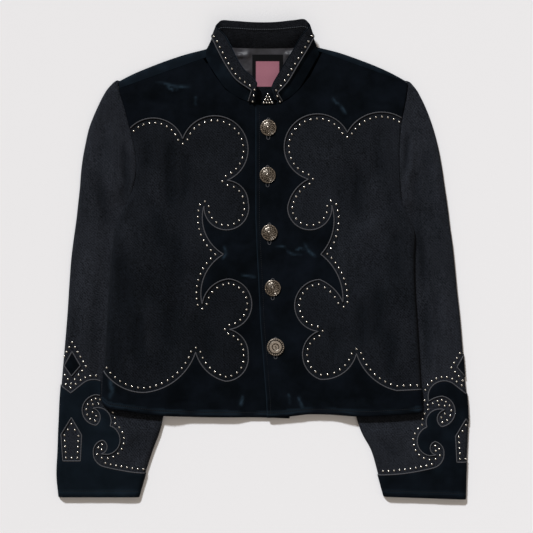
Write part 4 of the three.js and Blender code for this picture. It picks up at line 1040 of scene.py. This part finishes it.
collar = {
    "rows": [
        (-10.5, 244.7, 5.6, -8, 275, 16), (-33, 251.7, 5.8, -14, 284, 16.5), (-56.2, 266.9, 6, -27, 295, 17),
        (-72.2, 288.6, 6.2, -38, 311, 17.5), (-83, 306, 6, -47, 329, 18.5), (-88.5, 321, 5, -57, 347, 20),
        (-82, 332, 3.4, -69.5, 361, 21.5), (-64, 333, 2.6, -64, 369, 22), (-44, 331.5, 2.4, -46, 369, 22),
        (-15, 330.6, 2.4, -15, 367, 21.5), (17, 330.6, 2.4, 17, 367, 21.5), (46, 331.5, 2.4, 48, 370, 22),
        (66, 333, 2.6, 65, 371, 22), (82.5, 331.5, 3.2, 71, 362, 21.8), (87, 321.5, 5, 60, 348, 20),
        (80.5, 309, 6, 50, 331, 18.5), (70, 290, 6.6, 33, 304, 17.5), (56.6, 267.8, 6.8, 23, 287, 17),
        (40.3, 252.8, 6.8, 17, 277, 16.5), (24, 244.3, 6.8, 13.5, 269, 16)],
    "wall": 2.4,
    "belly": 1.6,
    "bandFrom": 0.52,
    "bandTo": 0.97,
    "endRows": (5, 4),  # how many rows in the band reaches where it turns down a front end
    "studPlace": 0.64,
    "studPitch": 9.8,
}


def collarSurface(places, distance):
    # points of the stand at fractions of its height, moved out along its normals
    rows = np.array(collar["rows"])
    seam, top = curveThrough(rows[:, 0:3], 10), curveThrough(rows[:, 3:6], 10)
    v = np.array(places)[None, :, None]
    grid = seam[:, None] * (1 - v) + top[:, None] * v
    grid[:, :, 2] += collar["belly"] * 4 * (v * (1 - v))[:, :, 0]
    fine = np.linspace(0, 1, 5)[None, :, None]
    whole = seam[:, None] * (1 - fine) + top[:, None] * fine
    around = np.gradient(whole, axis=0)
    up = np.broadcast_to((top - seam)[:, None], whole.shape)
    normal = np.cross(up, around)
    normal /= np.linalg.norm(normal, axis=2)[:, :, None]
    normal = normal.mean(1)
    kernel = np.ones(7) / 7
    padded = np.vstack([np.repeat(normal[:1], 3, 0), normal, np.repeat(normal[-1:], 3, 0)])
    normal = np.stack([np.convolve(padded[:, k], kernel, "valid") for k in range(3)], axis=1)
    normal /= np.linalg.norm(normal, axis=1)[:, None]
    if normal[0, 2] < 0:
        normal = -normal
    return grid + normal[:, None] * distance


def upwards(made, face):
    if made.data.polygons[face].normal.z < 0:
        made.data.flip_normals()


def makeCollar():
    steps = np.linspace(0, 1, 15)
    grid = collarSurface(steps, collar["wall"] / 2)
    wobble = softNoise(grid[:, :, 0].ravel(), grid[:, :, 1].ravel(), 16, 51).reshape(grid.shape[:2])
    grid[:, :, 2] += 0.25 * wobble * np.sin(np.pi * steps)[None]
    made = gridSheet("collar", grid)
    upwards(made, 3)
    marks = softNoise(grid[:, :, 0].ravel(), grid[:, :, 1].ravel(), 12, 52)
    paint(made, "crush", 0.04 + 0.14 * np.clip(marks, 0, 1))
    # an even painted shade over the twill inside the stand
    paint(made, "nap", 0 * marks + 0.25)
    made.data.materials.append(velvet)
    made.data.materials.append(twill)
    thicken(made, collar["wall"], 1)
    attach(made, "root")
    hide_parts("collar")

    face = collar["wall"] / 2 + 1.3
    strips = [gridSheet("collar_band", collarSurface(np.linspace(collar["bandFrom"], collar["bandTo"], 8), face)[1:-1])]
    ends = collarSurface(np.linspace(0.03, collar["bandFrom"], 8), face)
    first, last = collar["endRows"]
    for part in (ends[1:first + 1], ends[-last - 1:-1]):
        strips.append(gridSheet("collar_band_end", part))
    for strip in strips:
        upwards(strip, 3)
        # an even painted shade over the band
        paint(strip, "nap", np.full(len(strip.data.vertices), 0.45))
        thicken(strip, cloth["applique"])
    bpy.ops.object.select_all(action="DESELECT")
    for strip in strips:
        strip.select_set(True)
    bpy.context.view_layer.objects.active = strips[0]
    bpy.ops.object.join()
    finish(strips[0], twill, ["collar_band"])


makeCollar()

lining = {
    "rows": [(253, -25, 31), (264, -44, 44), (282, -61, 60), (302, -74, 76), (326.5, -82, 83), (333, -78, 79)],
    "facing": [(250, -24, 30), (262, -36, 36), (270, -20, 34)],
    "creases": [
        ([(-60, 322), (-30, 318), (-6, 324)], 4, 1.6), ([(-66, 306), (-48, 300), (-28, 304)], 4, -1.2),
        ([(-50, 312), (-44, 296), (-30, 284)], 4.5, 1.3), ([(10, 324), (40, 320), (66, 322)], 4, 1.2),
        ([(40, 312), (48, 300), (44, 288)], 4.5, 1.2), ([(56, 312), (50, 296), (36, 276)], 4, -1.0),
        ([(-36, 276), (-26, 264), (-14, 258)], 4, 0.9)],
}
label = {"x": 7.8, "y": 294.5, "width": 47, "height": 51, "field": (-10, 25.6, 270.5, 309.2)}
neckTab = {"x": 8.5, "baseY": 242.8, "tipY": 262, "baseWidth": 21, "tipWidth": 10, "top": 8.2}


def makeNeck():
    rows = lining["rows"]
    loop = np.array([(r, y) for y, l, r in rows] + [(l, y) for y, l, r in rows[::-1]], dtype=float)

    def height(x, y):
        points = np.stack([x, y], axis=1)
        inside = smooth(0, 8, distanceTo(points, np.vstack([loop, loop[:1]]))[0])
        under = smooth(31, 24, np.abs(x - label["x"]))
        folds = 2.2 * strokeHeight(x, y, lining["creases"])
        folds += 1.5 * softNoise(x, y, 8, 61) + 0.8 * softNoise(x, y, 4.2, 62)
        return 3.1 + np.clip(folds * inside * (1 - 0.9 * under), -1.6, 3.4)

    made, flat = cutSheet("back_lining", [loop], [], 2.4, [], height)
    thicken(made, 0.8)
    finish(made, satin, ["back_lining"])

    facing = np.array([(r, y) for y, l, r in lining["facing"]] + [(l, y) for y, l, r in lining["facing"][::-1]],
                      dtype=float)
    # a twill neck facing between the collar ends, painted in full shade where the collar shades it
    made, flat = cutSheet("neck_facing", [facing], [], 3, [], lambda x, y: 4.6 + 0.3 * softNoise(x, y, 9, 66))
    paint(made, "nap", np.ones(len(flat)))
    thicken(made, 0.8)
    finish(made, twill, ())

    x = np.linspace(-label["width"] / 2, label["width"] / 2, 48) + label["x"]
    y = np.linspace(-label["height"] / 2, label["height"] / 2, 52) + label["y"]
    gx, gy = np.meshgrid(x, y)
    gz = 4.3 + 0.25 * softNoise(gx.ravel(), gy.ravel(), 18, 63).reshape(gx.shape)
    made = gridSheet("neck_label", np.stack([gx, gy, gz], axis=2))
    upwards(made, 0)
    low, high, bottom, top = label["field"]
    inside = (gx > low) & (gx < high) & (gy > bottom) & (gy < top)
    paint(made, "field", inside.ravel().astype(float))
    thicken(made, 0.6)
    finish(made, labelCloth, ["neck_label"])

    tab = neckTab
    loop = np.array([
        (tab["x"] - tab["baseWidth"] / 2, tab["baseY"]), (tab["x"] + tab["baseWidth"] / 2, tab["baseY"]),
        (tab["x"] + tab["tipWidth"] / 2, tab["tipY"]), (tab["x"] - tab["tipWidth"] / 2, tab["tipY"])])

    def tabHeight(x, y):
        points = np.stack([x, y], axis=1)
        return tab["top"] - edgeFall(points, np.vstack([loop, loop[:1]]), 2, 0.7)

    made, flat = cutSheet("neck_tab", [loop], [], 1.4, [], tabHeight)
    paint(made, "crush", 0 * flat[:, 0])
    thicken(made, 1.4)
    finish(made, velvet, ["neck_tab"])


makeNeck()
print("collar and neck made")

# Couched cord: a two-ply tube laid along each edge

cordLook = {"radius": 0.85, "plyPitch": 4.6, "step": 1.3, "sides": 7}


def makeCord(name, lines):
    points, faces = [], []
    sides = cordLook["sides"]
    for line, closed in lines:
        line = evenly(line, cordLook["step"])
        run = np.gradient(line, axis=0)
        run /= np.maximum(np.linalg.norm(run, axis=1), 1e-9)[:, None]
        across = np.cross(run, np.array([0, 0, 1.0]))
        across /= np.maximum(np.linalg.norm(across, axis=1), 1e-9)[:, None]
        lift = np.cross(across, run)
        first = len(points)
        along = np.arange(len(line)) * cordLook["step"]
        for k in range(len(line)):
            for side in range(sides):
                angle = 2 * math.pi * side / sides
                ply = 1 + 0.16 * math.cos(2 * (angle - math.pi * along[k] / cordLook["plyPitch"]))
                arm = across[k] * math.cos(angle) + lift[k] * math.sin(angle)
                points.append(line[k] + arm * cordLook["radius"] * ply)
        for k in range(len(line) - 1):
            for side in range(sides):
                a, b = first + k * sides + side, first + k * sides + (side + 1) % sides
                faces.append((a, a + sides, b + sides, b))
        faces.append(tuple(first + side for side in range(sides)))
        faces.append(tuple(first + (len(line) - 1) * sides + side for side in range(sides))[::-1])
    print(name, "runs", len(points) // sides * cordLook["step"], "mm")
    made = newObject(name, np.array(points), faces)
    bpy.ops.object.select_all(action="DESELECT")
    made.select_set(True)
    bpy.context.view_layer.objects.active = made
    bpy.ops.object.mode_set(mode="EDIT")
    bpy.ops.mesh.select_all(action="SELECT")
    bpy.ops.mesh.normals_make_consistent(inside=False)
    bpy.ops.object.mode_set(mode="OBJECT")
    smoothShade(made, 60)
    return finish(made, cordCloth)


def onFront(front, line, rise):
    line = np.array(line)
    height = frontHeight(front, line[:, 0], line[:, 1], 0)
    return np.column_stack([line, height + rise])


def onSleeve(sleeve, line, rise):
    line = np.array(line)
    height = sleeveHeight(sleeve, line[:, 0], line[:, 1], 0)
    return np.column_stack([line, height + rise])


def keptPart(line, keep):
    # the longest run of points that the test keeps
    best, start = (0, 0), None
    for k, good in enumerate(list(keep) + [False]):
        if good and start is None:
            start = k
        if not good and start is not None:
            if k - start > best[1] - best[0]:
                best = (start, k)
            start = None
    return line[best[0]:best[1]]


for name, front in (("right_front", rightFront), ("left_front", leftFront)):
    scallop = arcLine(front["scallop"], 1.5)
    scallop = keptPart(scallop, insideOf(scallop, frontOutline(front, 0.6)))
    makeCord(name + "_cord", [(onFront(front, scallop, 1.0), False)])

for name, sleeve, isLeft in (("right_cuff", rightSleeve, False), ("left_cuff", leftSleeve, True)):
    outline = sleeveOutline(sleeve, 0.6)
    body = np.array(cuff["underBody"]) * (sleeve["sign"], 1)
    edge = arcLine(mirrored(cuff["edge"], isLeft), 1.3)
    seen = insideOf(edge, outline) & ~insideOf(edge, body)
    lines, start = [], None
    for k, good in enumerate(list(seen) + [False]):
        if good and start is None:
            start = k
        if not good and start is not None:
            if k - start > 3:
                lines.append((onSleeve(sleeve, edge[start:k], 1.0), False))
            start = None
    for shape in ("pentagon", "diamond"):
        loop = np.array(mirrored(cuff[shape], isLeft))
        loop = evenly(np.vstack([loop, loop[:1]]), 1.3)
        loop = loop[insideOf(loop, outline)]
        lines.append((onSleeve(sleeve, loop, 1.0), True))
    makeCord(name + "_cord", lines)

alongBand = collarSurface([collar["bandFrom"]], collar["wall"] / 2 + 1.5)[:, 0]
downEnds = collarSurface(np.linspace(0.02, collar["bandFrom"], 12), collar["wall"] / 2 + 1.5)
firstEnd, lastEnd = collar["endRows"]
collarLine = np.vstack([
    downEnds[firstEnd, :-1], alongBand[firstEnd + 1:len(alongBand) - lastEnd - 2],
    downEnds[len(alongBand) - lastEnd - 1, ::-1][1:]])
makeCord("collar_cord", [(collarLine, False)])
print("cord laid")

# Nailheads: one is modelled, then copied into a joined mesh for each place they are set

nailhead = {"diameter": 3.4, "height": 1.4, "pitch": 9.7, "inset": 7.0}


def modelNailhead():
    bpy.ops.object.select_all(action="DESELECT")
    bpy.ops.mesh.primitive_uv_sphere_add(segments=10, ring_count=8, radius=nailhead["diameter"] / 2 * mm)
    made = bpy.context.object
    bpy.ops.object.mode_set(mode="EDIT")
    bpy.ops.mesh.select_all(action="SELECT")
    bpy.ops.mesh.bisect(plane_co=(0, 0, -0.0001), plane_no=(0, 0, 1), use_fill=True, clear_inner=True)
    bpy.ops.mesh.select_all(action="SELECT")
    bpy.ops.transform.resize(value=(1, 1, nailhead["height"] / (nailhead["diameter"] / 2)))
    bpy.ops.object.mode_set(mode="OBJECT")
    points = np.array([v.co for v in made.data.vertices])
    faces = [tuple(p.vertices) for p in made.data.polygons]
    bpy.data.objects.remove(made)
    return points, faces


nailPoints, nailFaces = modelNailhead()


def setNailheads(name, places, tilts=None):
    points, faces = [], []
    centres = place(np.array(places))
    for k, centre in enumerate(centres):
        shape = nailPoints
        if tilts is not None:
            turn = Vector((0, 0, 1)).rotation_difference(Vector(tilts[k])).to_matrix()
            shape = shape @ np.array(turn).T
        first = len(points) * len(nailPoints)
        points.append(shape + centre)
        faces += [tuple(first + v for v in face) for face in nailFaces]
    made = newObject(name, np.vstack(points).tolist(), faces, inMillimetres=False)
    smoothShade(made, 50)
    return finish(made, nailSilver)


def besideArcs(rows, side, inset, pitch):
    # places beside an edge of arcs, with one at each cusp
    whole = arcLine(rows, 1.0)
    spans = []
    for before, after in zip(rows[:-1], rows[1:]):
        line = arcLine([(before[0], before[1], 0), after], 1.0)
        moved = shifted(line, side * inset)
        moved = moved[distanceTo(moved, whole)[0] > inset - 0.25]
        spans.append((line, moved))
    places = []
    corner = None
    for k, (line, moved) in enumerate(spans):
        following = spans[k + 1] if k + 1 < len(spans) else None
        end = None
        if following is not None and len(moved) and len(following[1]):
            gap = np.linalg.norm(moved[-1] - following[1][0])
            if gap < pitch * 0.9:
                end = (moved[-1] + following[1][0]) / 2
            else:
                aim = (moved[-1] - line[-1]) + (following[1][0] - line[-1])
                end = line[-1] + aim / max(np.linalg.norm(aim), 1e-6) * inset
        if len(moved) < 2:
            corner = end
            continue
        path = [moved]
        if corner is not None:
            path.insert(0, corner[None])
        if end is not None:
            path.append(end[None])
        path = evenly(np.vstack(path), pitch)
        places += list(path[1:] if places and corner is not None else path)
        corner = end
    kept = []
    for point in places:
        if all(np.linalg.norm(point - other) > 5.2 for other in kept):
            kept.append(point)
    return np.array(kept)


for name, front in (("right_front", rightFront), ("left_front", leftFront)):
    places = besideArcs(front["scallop"], front["sign"], nailhead["inset"], nailhead["pitch"])
    places = places[insideOf(places, frontOutline(front, -1.5))]
    setNailheads(name + "_nailheads", onFront(front, places, 0))

cuffNails = {"edgeInset": 6.0, "pentagonInset": 5.0, "diamondOutset": 7.0, "pitch": 8.8, "apart": 5.0}


def loopMoved(loop, distance):
    # a convex loop with each side moved out by the distance, or in where it is negative
    loop = np.array(loop, dtype=float)
    turn = np.sign((loop[:, 0] * np.roll(loop[:, 1], -1) - loop[:, 1] * np.roll(loop[:, 0], -1)).sum())
    moved = []
    for k in range(len(loop)):
        before, here, after = loop[k - 1], loop[k], loop[(k + 1) % len(loop)]
        a, b = (here - before) / np.linalg.norm(here - before), (after - here) / np.linalg.norm(after - here)
        out = np.array([a[1] + b[1], -a[0] - b[0]]) * turn
        out /= np.linalg.norm(out)
        half = math.sqrt(max((1 + float(a @ b)) / 2, 0.2))
        moved.append(here + out * distance / half)
    return np.array(moved)


def apart(places, gap):
    kept = []
    for point in places:
        if all(np.linalg.norm(point - other) > gap for other in kept):
            kept.append(point)
    return np.array(kept)


for name, sleeve, isLeft in (("right_cuff", rightSleeve, False), ("left_cuff", leftSleeve, True)):
    places = [besideArcs(mirrored(cuff["edge"], isLeft), -sleeve["sign"], cuffNails["edgeInset"], cuffNails["pitch"])]
    for shape, distance in (("diamond", cuffNails["diamondOutset"]), ("pentagon", -cuffNails["pentagonInset"])):
        loop = loopMoved(mirrored(cuff[shape], isLeft), distance)
        for k in range(len(loop)):
            places.append(evenly(np.array([loop[k], loop[(k + 1) % len(loop)]]), cuffNails["pitch"]))
    places = apart(np.vstack(places), cuffNails["apart"])
    places = places[insideOf(places, sleeveOutline(sleeve, -1.2))]
    places = places[~insideOf(places, np.array(cuff["underBody"]) * (sleeve["sign"], 1))]
    setNailheads(name + "_nailheads", onSleeve(sleeve, places, 0))


def collarNails():
    face = collar["wall"] / 2 + 1.3
    places = np.linspace(0.05, collar["studPlace"], 16)
    grid, outer = collarSurface(places, face), collarSurface(places, face + 1)
    first, last = 2, len(grid) - 3
    half = len(grid) // 2
    top = grid[:, -1]
    back = int(np.argmax(top[:half, 1] > 346)), half + int(np.argmax(top[half:, 1] < 347))
    for side, down, along in (
            ("right", grid[first, :-1], top[first + 2:back[0]]),
            ("left", grid[last, :-1], top[back[1]:last - 1][::-1])):
        line = evenly(np.vstack([down, along]), collar["studPitch"])
        nearest = [np.unravel_index(np.argmin(np.linalg.norm(grid - p, axis=2)), grid.shape[:2]) for p in line]
        setNailheads(side + "_collar_nailheads", line, [outer[k] - grid[k] for k in nearest])


collarNails()

tabNails = {"rows": 4, "pitch": 4.4, "apexY": 258.6}
tabPlaces = []
for k in range(tabNails["rows"]):
    for j in range(k + 1):
        tabPlaces.append((neckTab["x"] + (j - k / 2) * tabNails["pitch"], tabNails["apexY"] - k * 4.5, neckTab["top"] - 0.1))
setNailheads("tab_nailheads", tabPlaces)
print("nailheads set")

# Buttons: four domed conchos, chased with petals, and one flat two-hole disc

buttonLook = {
    "places": [(9, 206.5), (7.9, 133.3), (10.7, 44.5), (15.8, -41), (20.2, -132)],
    "radius": 12.2,
    "rimSteps": [(0.5, 0.35), (1.3, 0.0), (0.4, -0.5), (0.5, 0.7)],  # inset, then lift
    "domeSteps": [(2.0, 0.9), (2.3, 0.65), (2.1, 0.4), (0.5, -0.3), (0.5, 0.5), (1.1, 0.25)],
}


def chooseFaces(made, test):
    data = bmesh.from_edit_mesh(made.data)
    for face in data.faces:
        face.select_set(False)
    for face in data.faces:
        if test(face, face.calc_center_median()):
            face.select_set(True)
    bmesh.update_edit_mesh(made.data)


def darken(made):
    data = bmesh.from_edit_mesh(made.data)
    for face in data.faces:
        if face.select:
            face.material_index = 1
    bmesh.update_edit_mesh(made.data)


def insetAndLift(steps):
    for inset, lift in steps:
        bpy.ops.mesh.inset(thickness=inset * mm, depth=0)
        bpy.ops.transform.translate(value=(0, 0, lift * mm))


def sliceOf(centre, count):
    return int(round(math.atan2(centre.y, centre.x) / (2 * math.pi) * count - 0.5))


def modelConcho():
    bpy.ops.object.select_all(action="DESELECT")
    bpy.ops.mesh.primitive_cylinder_add(vertices=48, radius=buttonLook["radius"] * mm, depth=1.4 * mm,
                                        location=(0, 0, 0.7 * mm))
    made = bpy.context.object
    bpy.ops.object.transform_apply(location=True)
    made.data.materials.append(castSilver)
    made.data.materials.append(blackened)
    bpy.ops.object.mode_set(mode="EDIT")
    chooseFaces(made, lambda face, centre: face.normal.z > 0.9)
    insetAndLift(buttonLook["rimSteps"] + buttonLook["domeSteps"])

    def ring(inner, outer, turn, every):
        return lambda face, centre: (inner * mm < centre.xy.length < outer * mm and centre.z > 1.2 * mm
                                     and len(face.verts) == 4 and (sliceOf(centre, 48) + turn) % every == 0)

    chooseFaces(made, lambda face, centre: 10.0 * mm < centre.xy.length < 10.7 * mm and centre.z > 1.0 * mm)
    darken(made)
    # beaded rim, then two rings of petals cut in, and dots between them
    chooseFaces(made, ring(10.7, 12.0, 0, 2))
    bpy.ops.mesh.inset(thickness=0.16 * mm, depth=0.35 * mm, use_individual=True)
    chooseFaces(made, lambda face, centre: ring(7.4, 9.6, 0, 4)(face, centre) or ring(7.4, 9.6, 1, 4)(face, centre))
    bpy.ops.mesh.inset(thickness=0.28 * mm, depth=-0.45 * mm, use_individual=True)
    darken(made)
    chooseFaces(made, lambda face, centre: ring(5.2, 7.3, 2, 4)(face, centre) or ring(5.2, 7.3, 3, 4)(face, centre))
    bpy.ops.mesh.inset(thickness=0.2 * mm, depth=-0.4 * mm, use_individual=True)
    darken(made)
    chooseFaces(made, ring(3.0, 5.1, 0, 3))
    bpy.ops.mesh.inset(thickness=0.12 * mm, depth=-0.35 * mm, use_individual=True)
    darken(made)
    chooseFaces(made, lambda face, centre: 1.9 * mm < centre.xy.length < 2.9 * mm and centre.z > 3 * mm)
    darken(made)
    bpy.ops.object.mode_set(mode="OBJECT")
    smoothShade(made, 40)
    return made


def modelFlatButton():
    bpy.ops.object.select_all(action="DESELECT")
    bpy.ops.mesh.primitive_cylinder_add(vertices=48, radius=13.2 * mm, depth=1.6 * mm, location=(0, 0, 0.8 * mm))
    made = bpy.context.object
    bpy.ops.object.transform_apply(location=True)
    made.data.materials.append(brightSilver)
    made.data.materials.append(blackened)
    bpy.ops.object.mode_set(mode="EDIT")
    chooseFaces(made, lambda face, centre: face.normal.z > 0.9)
    insetAndLift([(0.5, 0.5), (1.6, 0.1), (0.5, -0.6), (0.9, 0.0), (0.4, 0.4), (3.4, 0.15), (0.4, -0.5), (1.2, -0.3)])
    chooseFaces(made, lambda face, centre: 9.6 * mm < centre.xy.length < 11.2 * mm and centre.z > 1.2 * mm)
    darken(made)
    chooseFaces(made, lambda face, centre: 4.4 * mm < centre.xy.length < 5.6 * mm and centre.z > 1.2 * mm)
    darken(made)
    chooseFaces(made, lambda face, centre: 11.0 * mm < centre.xy.length < 12.8 * mm and centre.z > 1.6 * mm
                and sliceOf(centre, 48) % 2 == 0 and len(face.verts) == 4)
    bpy.ops.mesh.inset(thickness=0.16 * mm, depth=-0.3 * mm, use_individual=True)
    darken(made)
    bpy.ops.object.mode_set(mode="OBJECT")
    for x in (-1.3, 1.3):
        bpy.ops.mesh.primitive_cylinder_add(vertices=16, radius=0.95 * mm, depth=6 * mm, location=(x * mm, 0, 2.2 * mm))
        cutter = bpy.context.object
        cutter.data.materials.append(blackened)
        hole = made.modifiers.new("hole", "BOOLEAN")
        hole.operation = "DIFFERENCE"
        hole.object = cutter
        hole.material_mode = "TRANSFER"
        applyModifiers(made)
        bpy.data.objects.remove(cutter)
    smoothShade(made, 40)
    return made


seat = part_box("button_1")[0].z
concho, flatButton = modelConcho(), modelFlatButton()
for k, centre in enumerate(buttonLook["places"]):
    source = flatButton if k == 4 else concho
    made = source.copy()
    made.data = source.data.copy()
    made.name = f"jacket_button_{k + 1}"
    bpy.context.scene.collection.objects.link(made)
    bpy.ops.object.select_all(action="DESELECT")
    made.select_set(True)
    bpy.context.view_layer.objects.active = made
    made.rotation_euler = (0, 0, 0.5 * k)
    made.location = (*place([centre])[0], seat)
    bpy.ops.object.transform_apply(location=True, rotation=True, scale=True)
    finish(made, None, [f"button_{k + 1}"])
bpy.data.objects.remove(concho)
bpy.data.objects.remove(flatButton)
print("buttons set")

# Buttonholes and topstitching

sewing = {"stitch": 2.6, "gap": 0.7, "thick": 0.42, "holeWidth": 4.6, "holeAbove": 12.5, "holeBelow": 18.5}


def modelStitch():
    bpy.ops.object.select_all(action="DESELECT")
    bpy.ops.mesh.primitive_ico_sphere_add(subdivisions=1, radius=mm)
    made = bpy.context.object
    bpy.ops.object.mode_set(mode="EDIT")
    bpy.ops.mesh.select_all(action="SELECT")
    bpy.ops.transform.resize(value=(sewing["stitch"] / 2, sewing["thick"], sewing["thick"] * 0.7))
    bpy.ops.object.mode_set(mode="OBJECT")
    points = np.array([v.co for v in made.data.vertices])
    faces = [tuple(p.vertices) for p in made.data.polygons]
    bpy.data.objects.remove(made)
    return points, faces


stitchPoints, stitchFaces = modelStitch()


def sewLines(name, lines, colour=None):
    points, faces = [], []
    for line in lines:
        line = evenly(line, sewing["stitch"] + sewing["gap"])
        middle = (line[1:] + line[:-1]) / 2
        run = np.diff(line, axis=0)
        run /= np.linalg.norm(run, axis=1)[:, None]
        centres = place(middle)
        for centre, along in zip(centres, run):
            across = np.cross([0, 0, 1.0], along)
            across /= max(np.linalg.norm(across), 1e-9)
            turn = np.stack([along, across, np.cross(along, across)])
            first = len(points) * len(stitchPoints)
            points.append(stitchPoints @ turn + centre)
            faces += [tuple(first + v for v in face) for face in stitchFaces]
    made = newObject(name, np.vstack(points).tolist(), faces, inMillimetres=False)
    smoothShade(made, 60)
    return finish(made, colour or thread)


def inSleeve(sleeve, line, rise):
    line = evenly(line, 3)
    line = line[insideOf(line, sleeveOutline(sleeve, -0.8))]
    return onSleeve(sleeve, line, rise)


proud = cloth["proud"]
for name, front in (("right_front", rightFront), ("left_front", leftFront)):
    hem = evenly(velvetStitch(front), 3)
    hem = hem[insideOf(hem, frontOutline(front, -1.5))]
    lines = [onFront(front, hem, proud - 0.35)]
    sewLines(name + "_topstitch", lines)
centreEdge = leftFront["fine"][4:236, 2:4]
sewLines("front_edge_topstitch", [onFront(leftFront, centreEdge + np.array([6.2, 0]), proud + 0.05)])
for name, sleeve, isLeft in (("right_cuff", rightSleeve, False), ("left_cuff", leftSleeve, True)):
    ends = [sleeve["fine"][-1, 0:2] + np.array([0, 9.5]), sleeve["fine"][-1, 2:4] + np.array([0, 9.5])]
    sewLines(name + "_topstitch", [inSleeve(sleeve, np.array(ends), proud - 0.35)])
collarStitch = collarSurface([0.74], -collar["wall"] / 2 - 0.45)[66:126, 0]
sewLines("collar_topstitch", [collarStitch], greyThread)

holes = []
for x, y in buttonLook["places"]:
    width = sewing["holeWidth"] / 2
    turn = np.linspace(0, math.pi, 9)
    upper = np.stack([x + width * np.cos(turn), y + sewing["holeAbove"] + width * np.sin(turn)], axis=1)
    lower = np.stack([x - width * np.cos(turn), y - sewing["holeBelow"] + width - width * np.sin(turn)], axis=1)
    loop = np.vstack([upper, lower, upper[:1]])
    holes.append((onFront(leftFront, evenly(loop, 1.2), proud + 0.1), True))
cordLook["radius"] = 0.55
makeCord("buttonhole_edges", holes)
print("sewing made")

# Floor, light and camera

stage = {"frameCentre": (0.0060, -0.0097), "cameraHeight": 2.2, "lens": 95.9}
bpy.ops.object.select_all(action="DESELECT")
bpy.ops.mesh.primitive_grid_add(x_subdivisions=8, y_subdivisions=8, size=6, location=(0, 0, -0.0004))
floor = bpy.context.object
floor.name = "floor"
floorPaint, floorTree, floorShader = newMaterial("pale studio card", {"Roughness": 0.9, "Specular IOR Level": 0.1})
floorShader.inputs["Base Color"].default_value = hexColour("#eeeef0")
floor.data.materials.append(floorPaint)

world = bpy.data.worlds.new("studio")
bpy.context.scene.world = world
world.use_nodes = True
background = world.node_tree.nodes["Background"]
background.inputs["Color"].default_value = (1.0, 0.87, 0.74, 1.0)
background.inputs["Strength"].default_value = 0.3


def addAreaLight(name, location, size, power, aim=(0, 0, 0)):
    light = bpy.data.lights.new(name, "AREA")
    light.size = size
    light.energy = power
    lamp = bpy.data.objects.new(name, light)
    bpy.context.scene.collection.objects.link(lamp)
    lamp.location = location
    lamp.rotation_euler = (Vector(aim) - Vector(location)).to_track_quat("-Z", "Y").to_euler()
    return lamp



def addSun(name, direction, elevation, strength, spread, colour):
    light = bpy.data.lights.new(name, "SUN")
    light.energy = strength
    light.angle = math.radians(spread)
    light.color = colour
    lamp = bpy.data.objects.new(name, light)
    bpy.context.scene.collection.objects.link(lamp)
    lamp.rotation_euler = (math.radians(90 - elevation), 0, math.radians(direction))
    return lamp


# the direction is where the light comes from, turned from the hem side round to the wearer's left
addSun("key light", 206, 33, 3.75, 6, (0.965, 0.995, 1.03))
addAreaLight("fill light", (1.6, -1.2, 2.6), 1.8, 6)

camera = bpy.data.cameras.new("camera")
camera.lens = stage["lens"]
viewer = bpy.data.objects.new("camera", camera)
bpy.context.scene.collection.objects.link(viewer)
viewer.location = (*stage["frameCentre"], stage["cameraHeight"])
bpy.context.scene.camera = viewer
bpy.context.scene.view_settings.view_transform = "Standard"
print("stage set")
